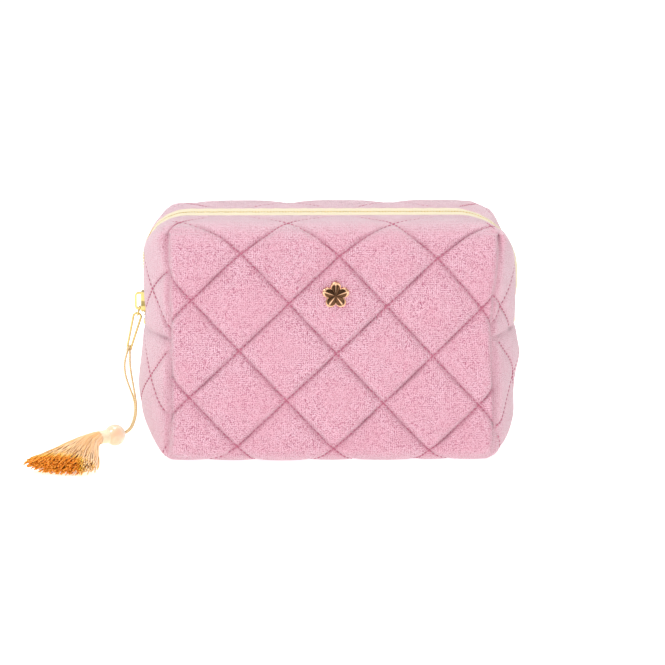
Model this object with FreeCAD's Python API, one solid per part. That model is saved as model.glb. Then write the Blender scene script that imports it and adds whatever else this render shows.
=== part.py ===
"""A boxy quilted make-up bag with a zip over the top, a tassel pull and a metal badge.

All sizes are in millimetres. The origin is at the middle of the flat bottom, +Z is up,
the front faces -Y and the closed end of the zip is on the left, at -X.
The upper half of the bag is two lips that tilt apart once the zip is undone.
"""
import FreeCAD
import Part
import itertools
import math
import os

Vec = FreeCAD.Vector

# ---- driving dimensions of the soft body -------------------------------------------------
bag_width = 190.0        # over the bulging sides, at the middle of the depth
face_width = 160.0       # front face, from corner seam to corner seam
bag_height = 120.0
corner_depth = 78.0      # between the front and back corner seams
face_bow = 4.0           # how far the front and back faces bow outwards
corner_round = 8.0       # plan rounding at the corner seams
shoulder_round = 24.0    # upper left and right corners, seen from the front
foot_round = 22.0        # lower left and right corners, seen from the front
brow_round = 16.0        # upper front and back edges, seen from the side
heel_round = 10.0        # lower front and back edges, seen from the side
panel_thick = 4.5        # towelling and wadding quilted together
lining_thick = 0.6
layer_gap = 0.2          # between panel and lining

# ---- zip --------------------------------------------------------------------------------
zip_end_height = 62.0    # side seam where the zip stops, on both sides
zip_slot_half = 9.5      # visible half width of the zip between the panel edges
tape_half = 12.6         # from the middle of the zip to the tape's hidden edge
tape_edge = 1.0          # from the middle of the zip to the tape's beaded edge
tape_depth = 2.3         # from the outer surface down to the tape
tape_thick = 0.6
coil_half = 2.1          # half width of the meshed coils
coil_mesh_gap = 0.1
coil_thick = 1.7
coil_on_tape = 0.05      # the coil sits this far off the tape
coil_parting = 0.9       # how far each coil stands aside below the slider's wedge
slit_play = 0.05         # round the tape, inside the panel
stop_length = 3.4

# ---- lips: the two upper halves that tilt apart --------------------------------------------
lip_axis_y = 20.0        # distance of each tilt axis from the middle
lip_axis_height = 75.0
lip_tilt = 35.0          # degrees
lip_spare = 3.0          # degrees of spare room past the tilt
lip_inner_rise = 8.0     # the lip's lower edge rises this much from the axis to the zip
lip_gap = 0.3

# ---- slider -----------------------------------------------------------------------------
slider_foot = 68.5       # height of the slider's lower end at rest
slider_length = 10.0
slider_nose_half = 4.2   # half width at the lower end, where the coils come in
slider_tail_half = 3.3
slider_plate = 1.1
channel_play = 0.15
channel_tail_half = 2.5
channel_nose_half = 3.4
wedge_half = 0.75
wedge_length = 2.8
crown_rise = 3.3         # how far the crown stands off the plate
crown_wire = 0.95
crown_half = 0.95
crown_inset = 0.5        # from the plate's ends to the crown

# ---- pull -------------------------------------------------------------------------------
bail_radius = 2.4        # to the middle of the wire
bail_wire = 0.4          # wire radius
pull_lean = 15.5         # degrees, how far the pull hangs away from the side
loop_wire = 0.55         # wire radius
loop_top_radius = 1.9
loop_foot_radius = 1.0
loop_length = 19.5       # over the outside of the wire
link_play = 0.1
hitch_radius = 1.75
cord_diameter = 1.1
strand_offset = 0.68     # from the middle of the pair of strands to each
bead_radius = 5.4
bead_bore_play = 0.02
bead_reach = 15.2        # the bead touches the table this far out from the side
bead_forward = 5.6
neck_heading = Vec(-0.83, -0.56, 0.0)
skirt_heading = Vec(-0.20, -0.98, 0.0)
neck_radius = 3.5
neck_length = 4.6
skirt_length = 50.0
skirt_half_width = 19.0
skirt_half_height = 5.0
skirt_waist = 0.22       # where along the skirt it is still narrow
skirt_waist_width = 7.6

# ---- badge ------------------------------------------------------------------------------
badge_x = 0.8
badge_z = 84.6
badge_reach = 6.6        # from the middle to a petal's end
petal_radius = 2.5
badge_crown = 2.6        # height in the middle
badge_ridge = 1.3        # height of the ridge at a petal's end
badge_valley = 0.5       # height of the valley between petals
badge_play = 0.1
prong_side = 0.9
prong_spread = 2.6
backplate_radius = 5.0
backplate_thick = 0.5

# ---- worked out from the values above -----------------------------------------------------
half_width = bag_width / 2
half_depth = corner_depth / 2 + face_bow
lining_outside = panel_thick + layer_gap
lining_inside = lining_outside + lining_thick
tape_inner_face = tape_depth + tape_thick
coil_bottom = tape_depth - coil_on_tape
coil_top = coil_bottom - coil_thick
channel_outer = coil_top - channel_play
channel_inner = tape_inner_face + channel_play
slider_head = slider_foot + slider_length
reach = 3 * bag_width    # length of every cutting block, past the whole bag


# ---- outlines ---------------------------------------------------------------------------
def arc(a, through, b):
    """An arc edge through three points."""
    return Part.Arc(a, through, b).toShape()


def polygon_face(points):
    """A flat face inside a closed polygon."""
    return Part.Face(Part.makePolygon(points + [points[0]]))


def plan_prism(inset):
    """Plan outline of four bowed sides, its corners rounded, drawn in by inset and raised to full height."""
    x, y = face_width / 2, corner_depth / 2
    bow_y, bow_x = y + face_bow, half_width
    edges = [
        arc(Vec(-x, -y, 0), Vec(0, -bow_y, 0), Vec(x, -y, 0)),
        arc(Vec(x, -y, 0), Vec(bow_x, 0, 0), Vec(x, y, 0)),
        arc(Vec(x, y, 0), Vec(0, bow_y, 0), Vec(-x, y, 0)),
        arc(Vec(-x, y, 0), Vec(-bow_x, 0, 0), Vec(-x, -y, 0)),
    ]
    sharp = Part.Face(Part.Wire(edges))
    core = sharp.makeOffset2D(-corner_round, 2)
    return core.makeOffset2D(corner_round - inset, 0).extrude(Vec(0, 0, bag_height))


def rounded_profile(half_span, lower_round, upper_round, inset, place):
    """A rounded upright rectangle. place turns (across, up) into a point."""
    s, low, top = half_span - inset, inset, bag_height - inset
    a, b = lower_round - inset, upper_round - inset
    slant = math.sqrt(0.5)

    def corner(side, level, radius, up):
        centre_s, centre_z = side * (s - radius), level - up * radius
        start, end = (side * s, centre_z), (centre_s, level)
        middle = (centre_s + side * radius * slant, centre_z + up * radius * slant)
        return [place(*p) for p in (start, middle, end)]

    right_low = corner(1, low, a, -1)
    right_top = corner(1, top, b, 1)
    left_top = corner(-1, top, b, 1)
    left_low = corner(-1, low, a, -1)
    edges = [
        arc(*right_top), Part.makeLine(right_top[2], left_top[2]),
        arc(*left_top), Part.makeLine(left_top[0], left_low[0]),
        arc(*left_low), Part.makeLine(left_low[2], right_low[2]),
        arc(*right_low), Part.makeLine(right_low[0], right_top[0]),
    ]
    return Part.Face(Part.Wire(Part.__sortEdges__(edges)))


def front_prism(inset):
    """What the bag fills seen from the front, carried right through its depth."""
    face = rounded_profile(half_width, foot_round, shoulder_round, inset,
                           lambda s, z: Vec(s, -reach / 2, z))
    return face.extrude(Vec(0, reach, 0))


def side_prism(inset):
    """What the bag fills seen from the side, carried right across its width."""
    face = rounded_profile(half_depth, heel_round, brow_round, inset,
                           lambda s, z: Vec(-reach / 2, s, z))
    return face.extrude(Vec(reach, 0, 0))


def body(inset):
    """The soft body's outer form, drawn in by inset on every side.

    The three prisms are brought together in another order if the first one comes out empty.
    """
    prisms = [plan_prism(inset), front_prism(inset), side_prism(inset)]
    for first, second, third in itertools.permutations(prisms):
        form = first.common(second).common(third)
        if form.Solids and form.Volume > 0:
            return form.removeSplitter()
    raise ValueError("the body's outlines don't meet in a solid")


def zip_band(outer_depth, inner_depth, y_from, y_to):
    """The part of a layer under the front outline that lies between two distances from the middle."""
    layer = front_prism(outer_depth).cut(front_prism(inner_depth))
    strip = Part.makeBox(reach, y_to - y_from, bag_height, Vec(-reach / 2, y_from, zip_end_height))
    return layer.common(strip)


def side_block(points):
    """A polygon in the side view, given as (y, z), carried across the whole width."""
    return polygon_face([Vec(-reach / 2, y, z) for y, z in points]).extrude(Vec(reach, 0, 0))


# ---- regions of the front half; the back half is their mirror image --------------------------
def front_regions():
    """Blocks that hold the lower part, the fold and the lip of the front half."""
    ay, az = -lip_axis_y, lip_axis_height
    far = -bag_width
    drop = (far - ay) * math.tan(math.radians(lip_tilt + lip_spare))
    lower = side_block([(far, -bag_height), (0, -bag_height), (0, az + lip_inner_rise - lip_gap),
                        (ay, az - lip_gap), (far, az - lip_gap + drop)])
    fold = side_block([(ay, az - lip_gap), (far, az - lip_gap), (far, az - lip_gap + drop)])
    lip = side_block([(far, az), (ay, az), (0, az + lip_inner_rise), (0, 2 * bag_height),
                      (far, 2 * bag_height)])
    return {"lower": lower, "fold": fold, "upper": lip}


def mirrored(shape):
    """The same shape on the back half."""
    return shape.mirror(Vec(0, 0, 0), Vec(0, 1, 0))


def biggest(shape, least=5.0):
    """Every solid of a cut result that is larger than a crumb, as one shape."""
    solids = [s for s in shape.Solids if s.Volume > least]
    return solids[0] if len(solids) == 1 else Part.makeCompound(solids)


def left_point(depth, y, z):
    """A point at a depth below the left side's outermost line."""
    return Vec(-half_width + depth, y, z)


# ---- soft parts --------------------------------------------------------------------------
def make_panels_and_lining(parts):
    """Quilted panels and lining, each split at the lip's fold, with the zip's slot left open."""
    slot = Part.makeBox(reach, 2 * zip_slot_half, 2 * bag_height,
                        Vec(-reach / 2, -zip_slot_half, zip_end_height))
    slit = zip_band(tape_depth - slit_play, tape_inner_face + slit_play,
                    -tape_half - slit_play, tape_half + slit_play)
    panel = body(0).cut(body(panel_thick)).cut(slot).cut(slit)
    lining = body(lining_outside).cut(body(lining_inside)).cut(slot)
    for name, block in front_regions().items():
        parts["front_panel_" + name] = biggest(panel.common(block))
        parts["back_panel_" + name] = biggest(panel.common(mirrored(block)))
        parts["front_lining_" + name] = biggest(lining.common(block), 1.0)
        parts["back_lining_" + name] = biggest(lining.common(mirrored(block)), 1.0)


def make_zip(parts):
    """Tape and coil on each side. Below the lips both belong to the fixed ends of the zip."""
    regions = front_regions()
    fixed = regions["lower"].fuse(regions["fold"])
    left = Part.makeBox(reach, 2 * reach, 2 * reach, Vec(-reach, -reach, -reach))
    right = Part.makeBox(reach, 2 * reach, 2 * reach, Vec(0, -reach, -reach))
    front_tape = zip_band(tape_depth, tape_inner_face, -tape_half, -tape_edge)
    front_coil = zip_band(coil_top, coil_bottom, -coil_half, -coil_mesh_gap / 2)
    above_lip = regions["upper"]
    parts["zip_tape_front"] = biggest(front_tape.common(above_lip), 1.0)
    parts["zip_tape_back"] = mirrored(parts["zip_tape_front"])
    parts["zip_coil_front"] = biggest(front_coil.common(above_lip), 1.0)
    parts["zip_coil_back"] = mirrored(parts["zip_coil_front"])
    for side, half in (("left", left), ("right", right)):
        tape = front_tape.common(fixed).common(half)
        parts["zip_tape_end_" + side] = Part.makeCompound([tape, mirrored(tape)])
    meshed = front_coil.common(fixed).common(right)
    above_stop = Part.makeBox(reach, reach, reach, Vec(0, -reach / 2, zip_end_height + stop_length))
    meshed = meshed.common(above_stop)
    parts["zip_coil_end_right"] = Part.makeCompound([meshed, mirrored(meshed)])
    parted = parted_coil().common(fixed)
    parts["zip_coil_end_left"] = Part.makeCompound([parted, mirrored(parted)])


def parted_coil():
    """The front coil at the closed end: meshed above the slider's wedge and standing aside below it."""
    wedge_top = slider_foot + wedge_length + 0.9
    parted_from = slider_foot + 1.2
    foot = zip_end_height + stop_length
    head = lip_axis_height + 2 * lip_inner_rise
    inner, outer = -coil_mesh_gap / 2, -coil_half
    outline = [(inner, head), (outer, head), (outer, wedge_top), (outer - coil_parting, parted_from),
               (outer - coil_parting, foot), (inner - coil_parting, foot),
               (inner - coil_parting, parted_from), (inner, wedge_top)]
    face = polygon_face([left_point(coil_top, y, z) for y, z in outline])
    return face.extrude(Vec(coil_thick, 0, 0))


def make_stops(parts):
    """Metal stops: one on each coil at the closed end, one across both at the other end."""
    tall = stop_length - 0.4
    wide = coil_half + 0.3
    block = Part.makeBox(coil_thick, wide, tall,
                         left_point(coil_top, -wide - coil_parting, zip_end_height + 0.2))
    block = block.makeFillet(0.4, block.Edges)
    parts["zip_top_stops"] = Part.makeCompound([block, mirrored(block)])
    across = Part.makeBox(coil_thick, 2 * wide, tall,
                          Vec(half_width - coil_bottom, -wide, zip_end_height + 0.2))
    parts["zip_bottom_stop"] = across.makeFillet(0.5, across.Edges)


# ---- slider -----------------------------------------------------------------------------
def shield(nose_half, tail_half, foot, head, depth):
    """The slider's outline, wide at the foot, at one depth."""
    waist = foot + 0.55 * (head - foot)
    points = [(-nose_half + 1.0, foot), (nose_half - 1.0, foot), (nose_half, foot + 1.2),
              (nose_half, foot + 0.3 * (head - foot)), (tail_half, waist), (tail_half, head),
              (-tail_half, head), (-tail_half, waist), (-nose_half, foot + 0.3 * (head - foot)),
              (-nose_half, foot + 1.2)]
    return polygon_face([left_point(depth, y, z) for y, z in points])


def make_slider(parts):
    """Two plates joined by the wedge, with side walls that leave a slot for the tape."""
    foot, head = slider_foot, slider_head
    outer_plate = shield(slider_nose_half, slider_tail_half, foot, head,
                         channel_outer - slider_plate).extrude(Vec(slider_plate, 0, 0))
    rim = [e for e in outer_plate.Edges
           if all(abs(v.X - (-half_width + channel_outer - slider_plate)) < 1e-6 for v in e.Vertexes)]
    outer_plate = outer_plate.makeFillet(0.35, rim)
    inner_plate = shield(slider_nose_half, slider_tail_half, foot, head,
                         channel_inner).extrude(Vec(slider_plate, 0, 0))
    wall_depth = tape_depth - channel_play - channel_outer
    walls = shield(slider_nose_half, slider_tail_half, foot, head,
                   channel_outer).extrude(Vec(wall_depth, 0, 0))
    waist = foot + 0.55 * slider_length
    channel = polygon_face([left_point(channel_outer, y, z) for y, z in
                            [(-channel_nose_half, foot - 1), (channel_nose_half, foot - 1),
                             (channel_nose_half, foot + 0.2 * slider_length), (channel_tail_half, waist),
                             (channel_tail_half, head + 1), (-channel_tail_half, head + 1),
                             (-channel_tail_half, waist),
                             (-channel_nose_half, foot + 0.2 * slider_length)]])
    walls = walls.cut(channel.extrude(Vec(wall_depth, 0, 0)))
    wedge = polygon_face([left_point(channel_outer - 0.2, y, z) for y, z in
                          [(0, foot + 0.2), (wedge_half, foot + 0.5 * wedge_length),
                           (0, foot + wedge_length), (-wedge_half, foot + 0.5 * wedge_length)]])
    wedge = wedge.extrude(Vec(channel_inner - channel_outer + 0.4, 0, 0))
    parts["slider_body"] = outer_plate.fuse([inner_plate, walls, wedge]).removeSplitter()
    parts["slider_crown"] = crown()


def crown():
    """The arch on the slider that the bail hangs from."""
    plate_face = channel_outer - slider_plate
    low, high = slider_foot + crown_inset, slider_head - crown_inset
    rise = crown_rise
    outer = Part.makeBox(rise * 2, 2 * crown_half, high - low,
                         left_point(plate_face - rise, -crown_half, low))
    inner = Part.makeBox((rise - crown_wire) * 2, 2 * crown_half + 2, high - low - 2 * crown_wire,
                         left_point(plate_face - rise + crown_wire, -crown_half - 1, low + crown_wire))
    outer = outer.makeFillet(2.0, edges_along_y(outer))
    inner = inner.makeFillet(1.2, edges_along_y(inner))
    ring = outer.cut(inner)
    keep = Part.makeBox(rise, 4 * crown_half, 2 * (high - low),
                        left_point(plate_face - rise, -2 * crown_half, low - 0.5 * (high - low)))
    return ring.common(keep)


def edges_along_y(shape):
    """The straight edges of a box that run front to back."""
    found = []
    for edge in shape.Edges:
        a, b = edge.Vertexes[0].Point, edge.Vertexes[-1].Point
        if abs(a.x - b.x) < 1e-6 and abs(a.z - b.z) < 1e-6:
            found.append(edge)
    return found


# ---- pull -------------------------------------------------------------------------------
lean = math.radians(pull_lean)
hang = Vec(-math.sin(lean), 0, -math.cos(lean))          # the way the pull hangs
bail_pivot = left_point(channel_outer - slider_plate - bail_wire - 0.45, 0,
                        slider_foot + crown_inset + crown_wire + bail_wire + 0.35)
loop_head = bail_pivot + hang * (2 * bail_radius - bail_wire - loop_wire - link_play)
loop_foot = loop_head + hang * (loop_length - 2 * loop_wire)


def make_bail(parts):
    """A small round link through the crown."""
    axis = Vec(0, 1, 0).cross(hang)
    parts["bail_ring"] = Part.makeTorus(bail_radius, bail_wire, bail_pivot + hang * bail_radius, axis)


def make_pull_loop(parts):
    """A long tapered wire loop: two half rounds joined by their outer tangents."""
    across = Vec(0, 1, 0).cross(hang)
    top = loop_head + hang * loop_top_radius
    foot = loop_foot - hang * loop_foot_radius
    span = (foot - top).Length
    tilt = math.asin((loop_top_radius - loop_foot_radius) / span)

    def on(centre, radius, angle):
        return centre + hang * (radius * math.sin(angle)) + across * (radius * math.cos(angle))

    top_ends = [on(top, loop_top_radius, tilt), on(top, loop_top_radius, math.pi - tilt)]
    foot_ends = [on(foot, loop_foot_radius, tilt), on(foot, loop_foot_radius, math.pi - tilt)]
    path = Part.Wire([
        arc(top_ends[1], on(top, loop_top_radius, -math.pi / 2), top_ends[0]),
        Part.makeLine(top_ends[0], foot_ends[0]),
        arc(foot_ends[0], on(foot, loop_foot_radius, math.pi / 2), foot_ends[1]),
        Part.makeLine(foot_ends[1], top_ends[1]),
    ])
    tangent = (foot_ends[0] - top_ends[0]).normalize()
    start = top_ends[0]
    middle = (top_ends[0] + foot_ends[0]) * 0.5
    ring = Part.Wire(Part.makeCircle(loop_wire, middle, tangent))
    rotated = Part.Wire([Part.makeLine(middle, foot_ends[0]), path.Edges[2], path.Edges[3],
                         path.Edges[0], Part.makeLine(start, middle)])
    parts["pull_loop"] = rotated.makePipeShell([ring], True, True)


def tube(points, diameter, name):
    """A round tube along straight runs joined by tangent arcs, each as large as its runs allow."""
    runs = [(b - a).Length for a, b in zip(points, points[1:])]
    edges, last = [], points[0]
    length, radii = 0.0, []
    for i in range(1, len(points) - 1):
        before = (points[i] - points[i - 1]).normalize()
        after = (points[i + 1] - points[i]).normalize()
        turn = before.getAngle(after)
        cut = 0.45 * min(runs[i - 1], runs[i])
        radius = cut / math.tan(turn / 2)
        radii.append(round(radius, 1))
        start, end = points[i] - before * cut, points[i] + after * cut
        inward = (after - before).normalize()
        centre = points[i] + inward * (radius / math.cos(turn / 2))
        middle = centre - inward * radius
        edges += [Part.makeLine(last, start), arc(start, middle, end)]
        length += (start - last).Length + radius * turn
        last = end
    edges.append(Part.makeLine(last, points[-1]))
    length += (points[-1] - last).Length
    ring = Part.Wire(Part.makeCircle(diameter / 2, points[0], (points[1] - points[0])))
    solid = Part.Wire(edges).makePipeShell([ring], True, True)
    share = solid.Volume / (math.pi * diameter ** 2 / 4 * length)
    print(name, "length", round(length, 1), "radii", radii, "volume share", round(share, 4))
    return solid


bead_centre = Vec(-half_width - bead_reach, -bead_forward, bead_radius)
heading = Vec(neck_heading.x, neck_heading.y, 0).normalize()
aside = Vec(-heading.y, heading.x, 0)
fan_way = Vec(skirt_heading.x, skirt_heading.y, 0).normalize()
cord_entry = bead_centre - heading * (bead_radius - 0.8)
# The two strands of the cord, from the hitch down to the bead. Below the bow they run side by side.
side_by_side = [
    loop_foot + Vec(2.3, 2.4, -28.5),
    loop_foot + Vec(2.4, 2.6, -35.0),
    cord_entry - heading * 5.4 + Vec(0, 0, 2.8),
    cord_entry - heading * 2.2 + Vec(0, 0, 0.35),
    cord_entry + heading * 0.2,
]
right_route = [loop_foot + Vec(0.35, 0.0, -1.9), loop_foot + Vec(0.0, 0.5, -8.5),
               loop_foot + Vec(1.1, 1.4, -17.5)]
right_route += [point + aside * strand_offset for point in side_by_side]
left_route = [loop_foot + Vec(-0.85, 0.0, -1.9), loop_foot + Vec(-2.7, 0.5, -7.0),
              loop_foot + Vec(-2.5, 1.2, -14.5), loop_foot + Vec(-0.4, 2.2, -21.5)]
left_route += [point - aside * strand_offset for point in side_by_side]


def make_cord(parts):
    """The looped cord: a hitch round the foot of the loop and two strands down to the bead."""
    hitch = Part.makeSphere(hitch_radius, loop_foot + hang * 0.35)
    parts["cord_strand_right"] = tube(right_route, cord_diameter, "right strand")
    parts["cord_strand_left"] = tube(left_route, cord_diameter, "left strand")
    hitch = hitch.cut([parts["pull_loop"], parts["cord_strand_right"], parts["cord_strand_left"]])
    parts["cord_hitch"] = biggest(hitch, 0.5)


def upright_ellipse(centre, facing, half_wide, half_tall):
    """An ellipse standing on the table, its flat side facing one way."""
    if half_wide > half_tall:
        curve = Part.Ellipse(Vec(0, 0, 0), half_wide, half_tall)
    else:
        curve = Part.Circle(Vec(0, 0, 0), Vec(0, 0, 1), half_wide)
    shape = Part.Wire(curve.toShape())
    turn = FreeCAD.Rotation(Vec(-facing.y, facing.x, 0), Vec(0, 0, 1), facing, "XYZ")
    shape.Placement = FreeCAD.Placement(centre, turn)
    return shape


def make_tassel(parts):
    """Bead, wrapped neck and the fan of threads that lies on the table."""
    bead = Part.makeSphere(bead_radius, bead_centre)
    bore_radius = strand_offset + cord_diameter / 2 + bead_bore_play
    bore = Part.makeCylinder(bore_radius, 4 * bead_radius, bead_centre - heading * 2 * bead_radius,
                             heading)
    parts["bead"] = bead.cut(bore)
    neck_start = math.sqrt(bead_radius ** 2 - neck_radius ** 2) + 0.1
    neck = Part.makeCylinder(neck_radius, neck_length, bead_centre + heading * neck_start, heading)
    dish = Part.makeSphere(bead_radius + 0.05, bead_centre)
    parts["tassel_neck"] = neck.cut(dish)
    root = bead_centre + heading * (neck_start + neck_length + 0.02)
    waist = root + (heading + fan_way) * (0.5 * skirt_waist * skirt_length)
    tip = waist + fan_way * ((1 - skirt_waist) * skirt_length)
    parts["tassel_skirt"] = Part.makeLoft([
        upright_ellipse(root, heading, neck_radius, neck_radius),
        upright_ellipse(waist, (heading + fan_way).normalize(), skirt_waist_width, skirt_half_height),
        upright_ellipse(tip, fan_way, skirt_half_width, skirt_half_height),
    ], True, True)


# ---- badge ------------------------------------------------------------------------------
def make_badge(parts):
    """A plain faceted blossom on two prongs, clenched over a round backplate inside the panel."""
    back = -half_depth - badge_play
    centre = Vec(badge_x, back, badge_z)

    def spot(radius, angle, height):
        return centre + Vec(radius * math.cos(angle), -height, radius * math.sin(angle))

    far = 1.4 * badge_reach
    apex = spot(0, 0, badge_crown)
    steps = [math.pi / 2 + math.pi / 5 * i for i in range(10)]
    drop_ridge = (badge_crown - badge_ridge) / badge_reach * far
    drop_valley = (badge_crown - badge_valley) / (0.6 * badge_reach) * far * 0.62
    heights = [badge_crown - (drop_ridge if i % 2 == 0 else drop_valley) for i in range(10)]
    deep = -6.0
    rim = [spot(far, a, h) for a, h in zip(steps, heights)]
    floor = [spot(far, a, deep) for a in steps]
    faces = [polygon_face(list(reversed(floor)))]
    for i in range(10):
        j = (i + 1) % 10
        faces.append(polygon_face([apex, rim[i], rim[j]]))
        faces.append(polygon_face([floor[i], floor[j], rim[j], rim[i]]))
    pleated = Part.Solid(Part.Shell(faces))
    if pleated.Volume < 0:
        pleated.reverse()
    petals = [Part.makeCylinder(petal_radius, badge_crown + 1,
                                spot(badge_reach - petal_radius, a, 0), Vec(0, -1, 0))
              for a in steps[::2]]
    middle = Part.makeCylinder(0.5 * badge_reach, badge_crown + 1, centre, Vec(0, -1, 0))
    blossom = middle.fuse(petals).removeSplitter().common(pleated)
    prongs = [Part.makeBox(prong_side, panel_thick + badge_play + 0.2, prong_side,
                           Vec(badge_x + side * prong_spread - prong_side / 2, back - 0.2,
                               badge_z - prong_side / 2)) for side in (-1, 1)]
    parts["badge"] = blossom.fuse(prongs).removeSplitter()
    plate_y = -half_depth + panel_thick - backplate_thick
    plate = Part.makeCylinder(backplate_radius, backplate_thick - 0.05,
                              Vec(badge_x, plate_y, badge_z), Vec(0, 1, 0))
    pocket = Part.makeCylinder(backplate_radius + 0.1, backplate_thick + 1,
                               Vec(badge_x, plate_y - 0.05, badge_z), Vec(0, 1, 0))
    holes = [Part.makeBox(prong_side + 0.1, panel_thick + 2, prong_side + 0.1,
                          Vec(badge_x + side * prong_spread - prong_side / 2 - 0.05, -half_depth - 1,
                              badge_z - prong_side / 2 - 0.05)) for side in (-1, 1)]
    parts["badge_backplate"] = plate.cut(holes)
    parts["front_panel_upper"] = parts["front_panel_upper"].cut([pocket] + holes)


def main():
    parts = {}
    make_panels_and_lining(parts)
    make_zip(parts)
    make_stops(parts)
    make_slider(parts)
    make_bail(parts)
    make_pull_loop(parts)
    make_cord(parts)
    make_tassel(parts)
    make_badge(parts)
    os.makedirs("parts", exist_ok=True)
    for name, shape in sorted(parts.items()):
        box = shape.BoundBox
        print(f"{name:24s} solids {len(shape.Solids)} valid {shape.isValid()} volume {shape.Volume:9.1f} "
              f"x {box.XMin:7.1f} {box.XMax:7.1f} y {box.YMin:6.1f} {box.YMax:6.1f} "
              f"z {box.ZMin:6.1f} {box.ZMax:6.1f}")
        if not shape.Solids:
            raise ValueError(name + " came out empty")
        shape.exportStep(f"parts/{name}.step")


main()
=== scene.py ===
import math

import bpy
import numpy as np
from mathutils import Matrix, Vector


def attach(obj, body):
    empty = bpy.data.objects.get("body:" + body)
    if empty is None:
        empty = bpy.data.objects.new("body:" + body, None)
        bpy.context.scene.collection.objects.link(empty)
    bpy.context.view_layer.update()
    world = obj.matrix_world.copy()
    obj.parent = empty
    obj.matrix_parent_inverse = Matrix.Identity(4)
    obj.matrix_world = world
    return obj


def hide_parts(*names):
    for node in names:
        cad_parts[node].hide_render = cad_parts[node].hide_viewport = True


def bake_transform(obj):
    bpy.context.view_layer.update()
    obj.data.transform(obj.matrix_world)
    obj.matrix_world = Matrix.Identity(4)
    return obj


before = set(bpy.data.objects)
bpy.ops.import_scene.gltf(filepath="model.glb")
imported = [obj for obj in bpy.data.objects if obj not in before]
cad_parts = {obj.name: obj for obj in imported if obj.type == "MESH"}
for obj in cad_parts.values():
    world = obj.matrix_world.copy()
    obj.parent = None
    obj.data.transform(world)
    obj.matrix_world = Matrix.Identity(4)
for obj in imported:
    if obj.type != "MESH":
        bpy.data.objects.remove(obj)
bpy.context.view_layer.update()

# A boxy quilted towelling make-up bag with a zip over the top, a tassel pull and a metal badge.
# Every piece stands in the CAD frame: origin at the middle of the flat bottom, +Z up, the front
# at -Y, the slider at -X. Shapes are worked out in millimetres and turned into metres at the end.

bl_info = {
    "name": "Quilted make-up bag",
    "version": (1, 0, 0),
    "blender": (4, 5, 0),
    "location": "3D View > Sidebar > Make-up bag",
    "description": "Builds a boxy quilted make-up bag with a zip, a tassel and a badge",
    "category": "Object",
}

MM = 0.001


# ---- sizes and colours ------------------------------------------------------------------------
def size_property(name, description, default):
    """A length in metres shown in the scene's own units."""
    return bpy.props.FloatProperty(name=name, description=description, default=default, min=0.0,
                                   unit="LENGTH", subtype="DISTANCE", precision=5)


def colour_property(name, description, default):
    """A linear colour."""
    return bpy.props.FloatVectorProperty(name=name, description=description, default=default, size=3,
                                         min=0.0, max=1.0, subtype="COLOR")


class BagSizes(bpy.types.PropertyGroup):
    """Sizes of the soft body."""
    width: size_property("Width", "Over the bulging sides", 0.190)
    face_width: size_property("Face width", "Front face between its corner seams", 0.1602)
    height: size_property("Height", "From the table to the top", 0.120)
    depth: size_property("Depth", "Front face to back face, in the middle", 0.086)
    brow: size_property("Top edge rounding", "Radius of the top front and back edges", 0.016)
    heel: size_property("Bottom edge rounding", "Radius of the bottom front and back edges", 0.010)
    shoulder: size_property("Shoulder rounding", "Radius of the top corners seen from the front", 0.024)
    foot: size_property("Foot rounding", "Radius of the bottom corners seen from the front", 0.022)
    diamond: size_property("Diamond", "Diagonal of one quilted diamond", 0.047)
    puff: size_property("Puff", "How far a diamond stands above its stitching", 0.0030)
    stitch: size_property("Stitch pitch", "From one quilting stitch to the next", 0.00235)
    zip_end: size_property("Zip end height", "Where the zip stops at the sides", 0.062)


class BagColours(bpy.types.PropertyGroup):
    """Colours of the bag's pieces."""
    towelling: colour_property("Towelling", "Terry loops", (0.83, 0.425, 0.53))
    stitching: colour_property("Stitching", "Quilting thread", (0.50, 0.13, 0.21))
    lining: colour_property("Lining", "Woven lining", (0.84, 0.60, 0.63))
    tape: colour_property("Tape", "Zip tape", (0.80, 0.69, 0.45))
    coil: colour_property("Coil", "Zip coil", (0.72, 0.50, 0.13))
    gilt: colour_property("Gilt", "Slider, ring and loop", (0.84, 0.66, 0.25))
    rose_gilt: colour_property("Rose gilt", "Badge", (0.78, 0.46, 0.28))
    cord: colour_property("Cord", "Pull cord", (0.93, 0.74, 0.42))
    threads: colour_property("Threads", "Tassel threads", (0.95, 0.62, 0.27))
    cut_ends: colour_property("Cut ends", "Tassel thread ends", (0.93, 0.33, 0.008))
    bead: colour_property("Bead", "Pearly bead", (0.88, 0.60, 0.38))


class StageSettings(bpy.types.PropertyGroup):
    """Camera and lights."""
    turn: bpy.props.FloatProperty(name="Camera turn", description="Camera round the bag from the front",
                                  default=math.radians(-1.0), subtype="ANGLE", unit="ROTATION")
    rise: bpy.props.FloatProperty(name="Camera rise", description="Camera above the horizon",
                                  default=math.radians(12.5), subtype="ANGLE", unit="ROTATION")
    distance: size_property("Camera distance", "From the camera to the point it looks at", 0.900)
    aim_height: size_property("Aim height", "Height of the point the camera looks at", 0.0568)
    aim_across: bpy.props.FloatProperty(name="Aim across", description="Side step of the point the camera "
                                        "looks at", default=0.0, unit="LENGTH", subtype="DISTANCE")
    ambient: bpy.props.FloatProperty(name="Ambient", description="Brightness of the room's even light",
                                     default=0.58, min=0.0)
    lens: bpy.props.FloatProperty(name="Lens", description="Focal length in millimetres", default=96.7,
                                  min=1.0)


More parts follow.
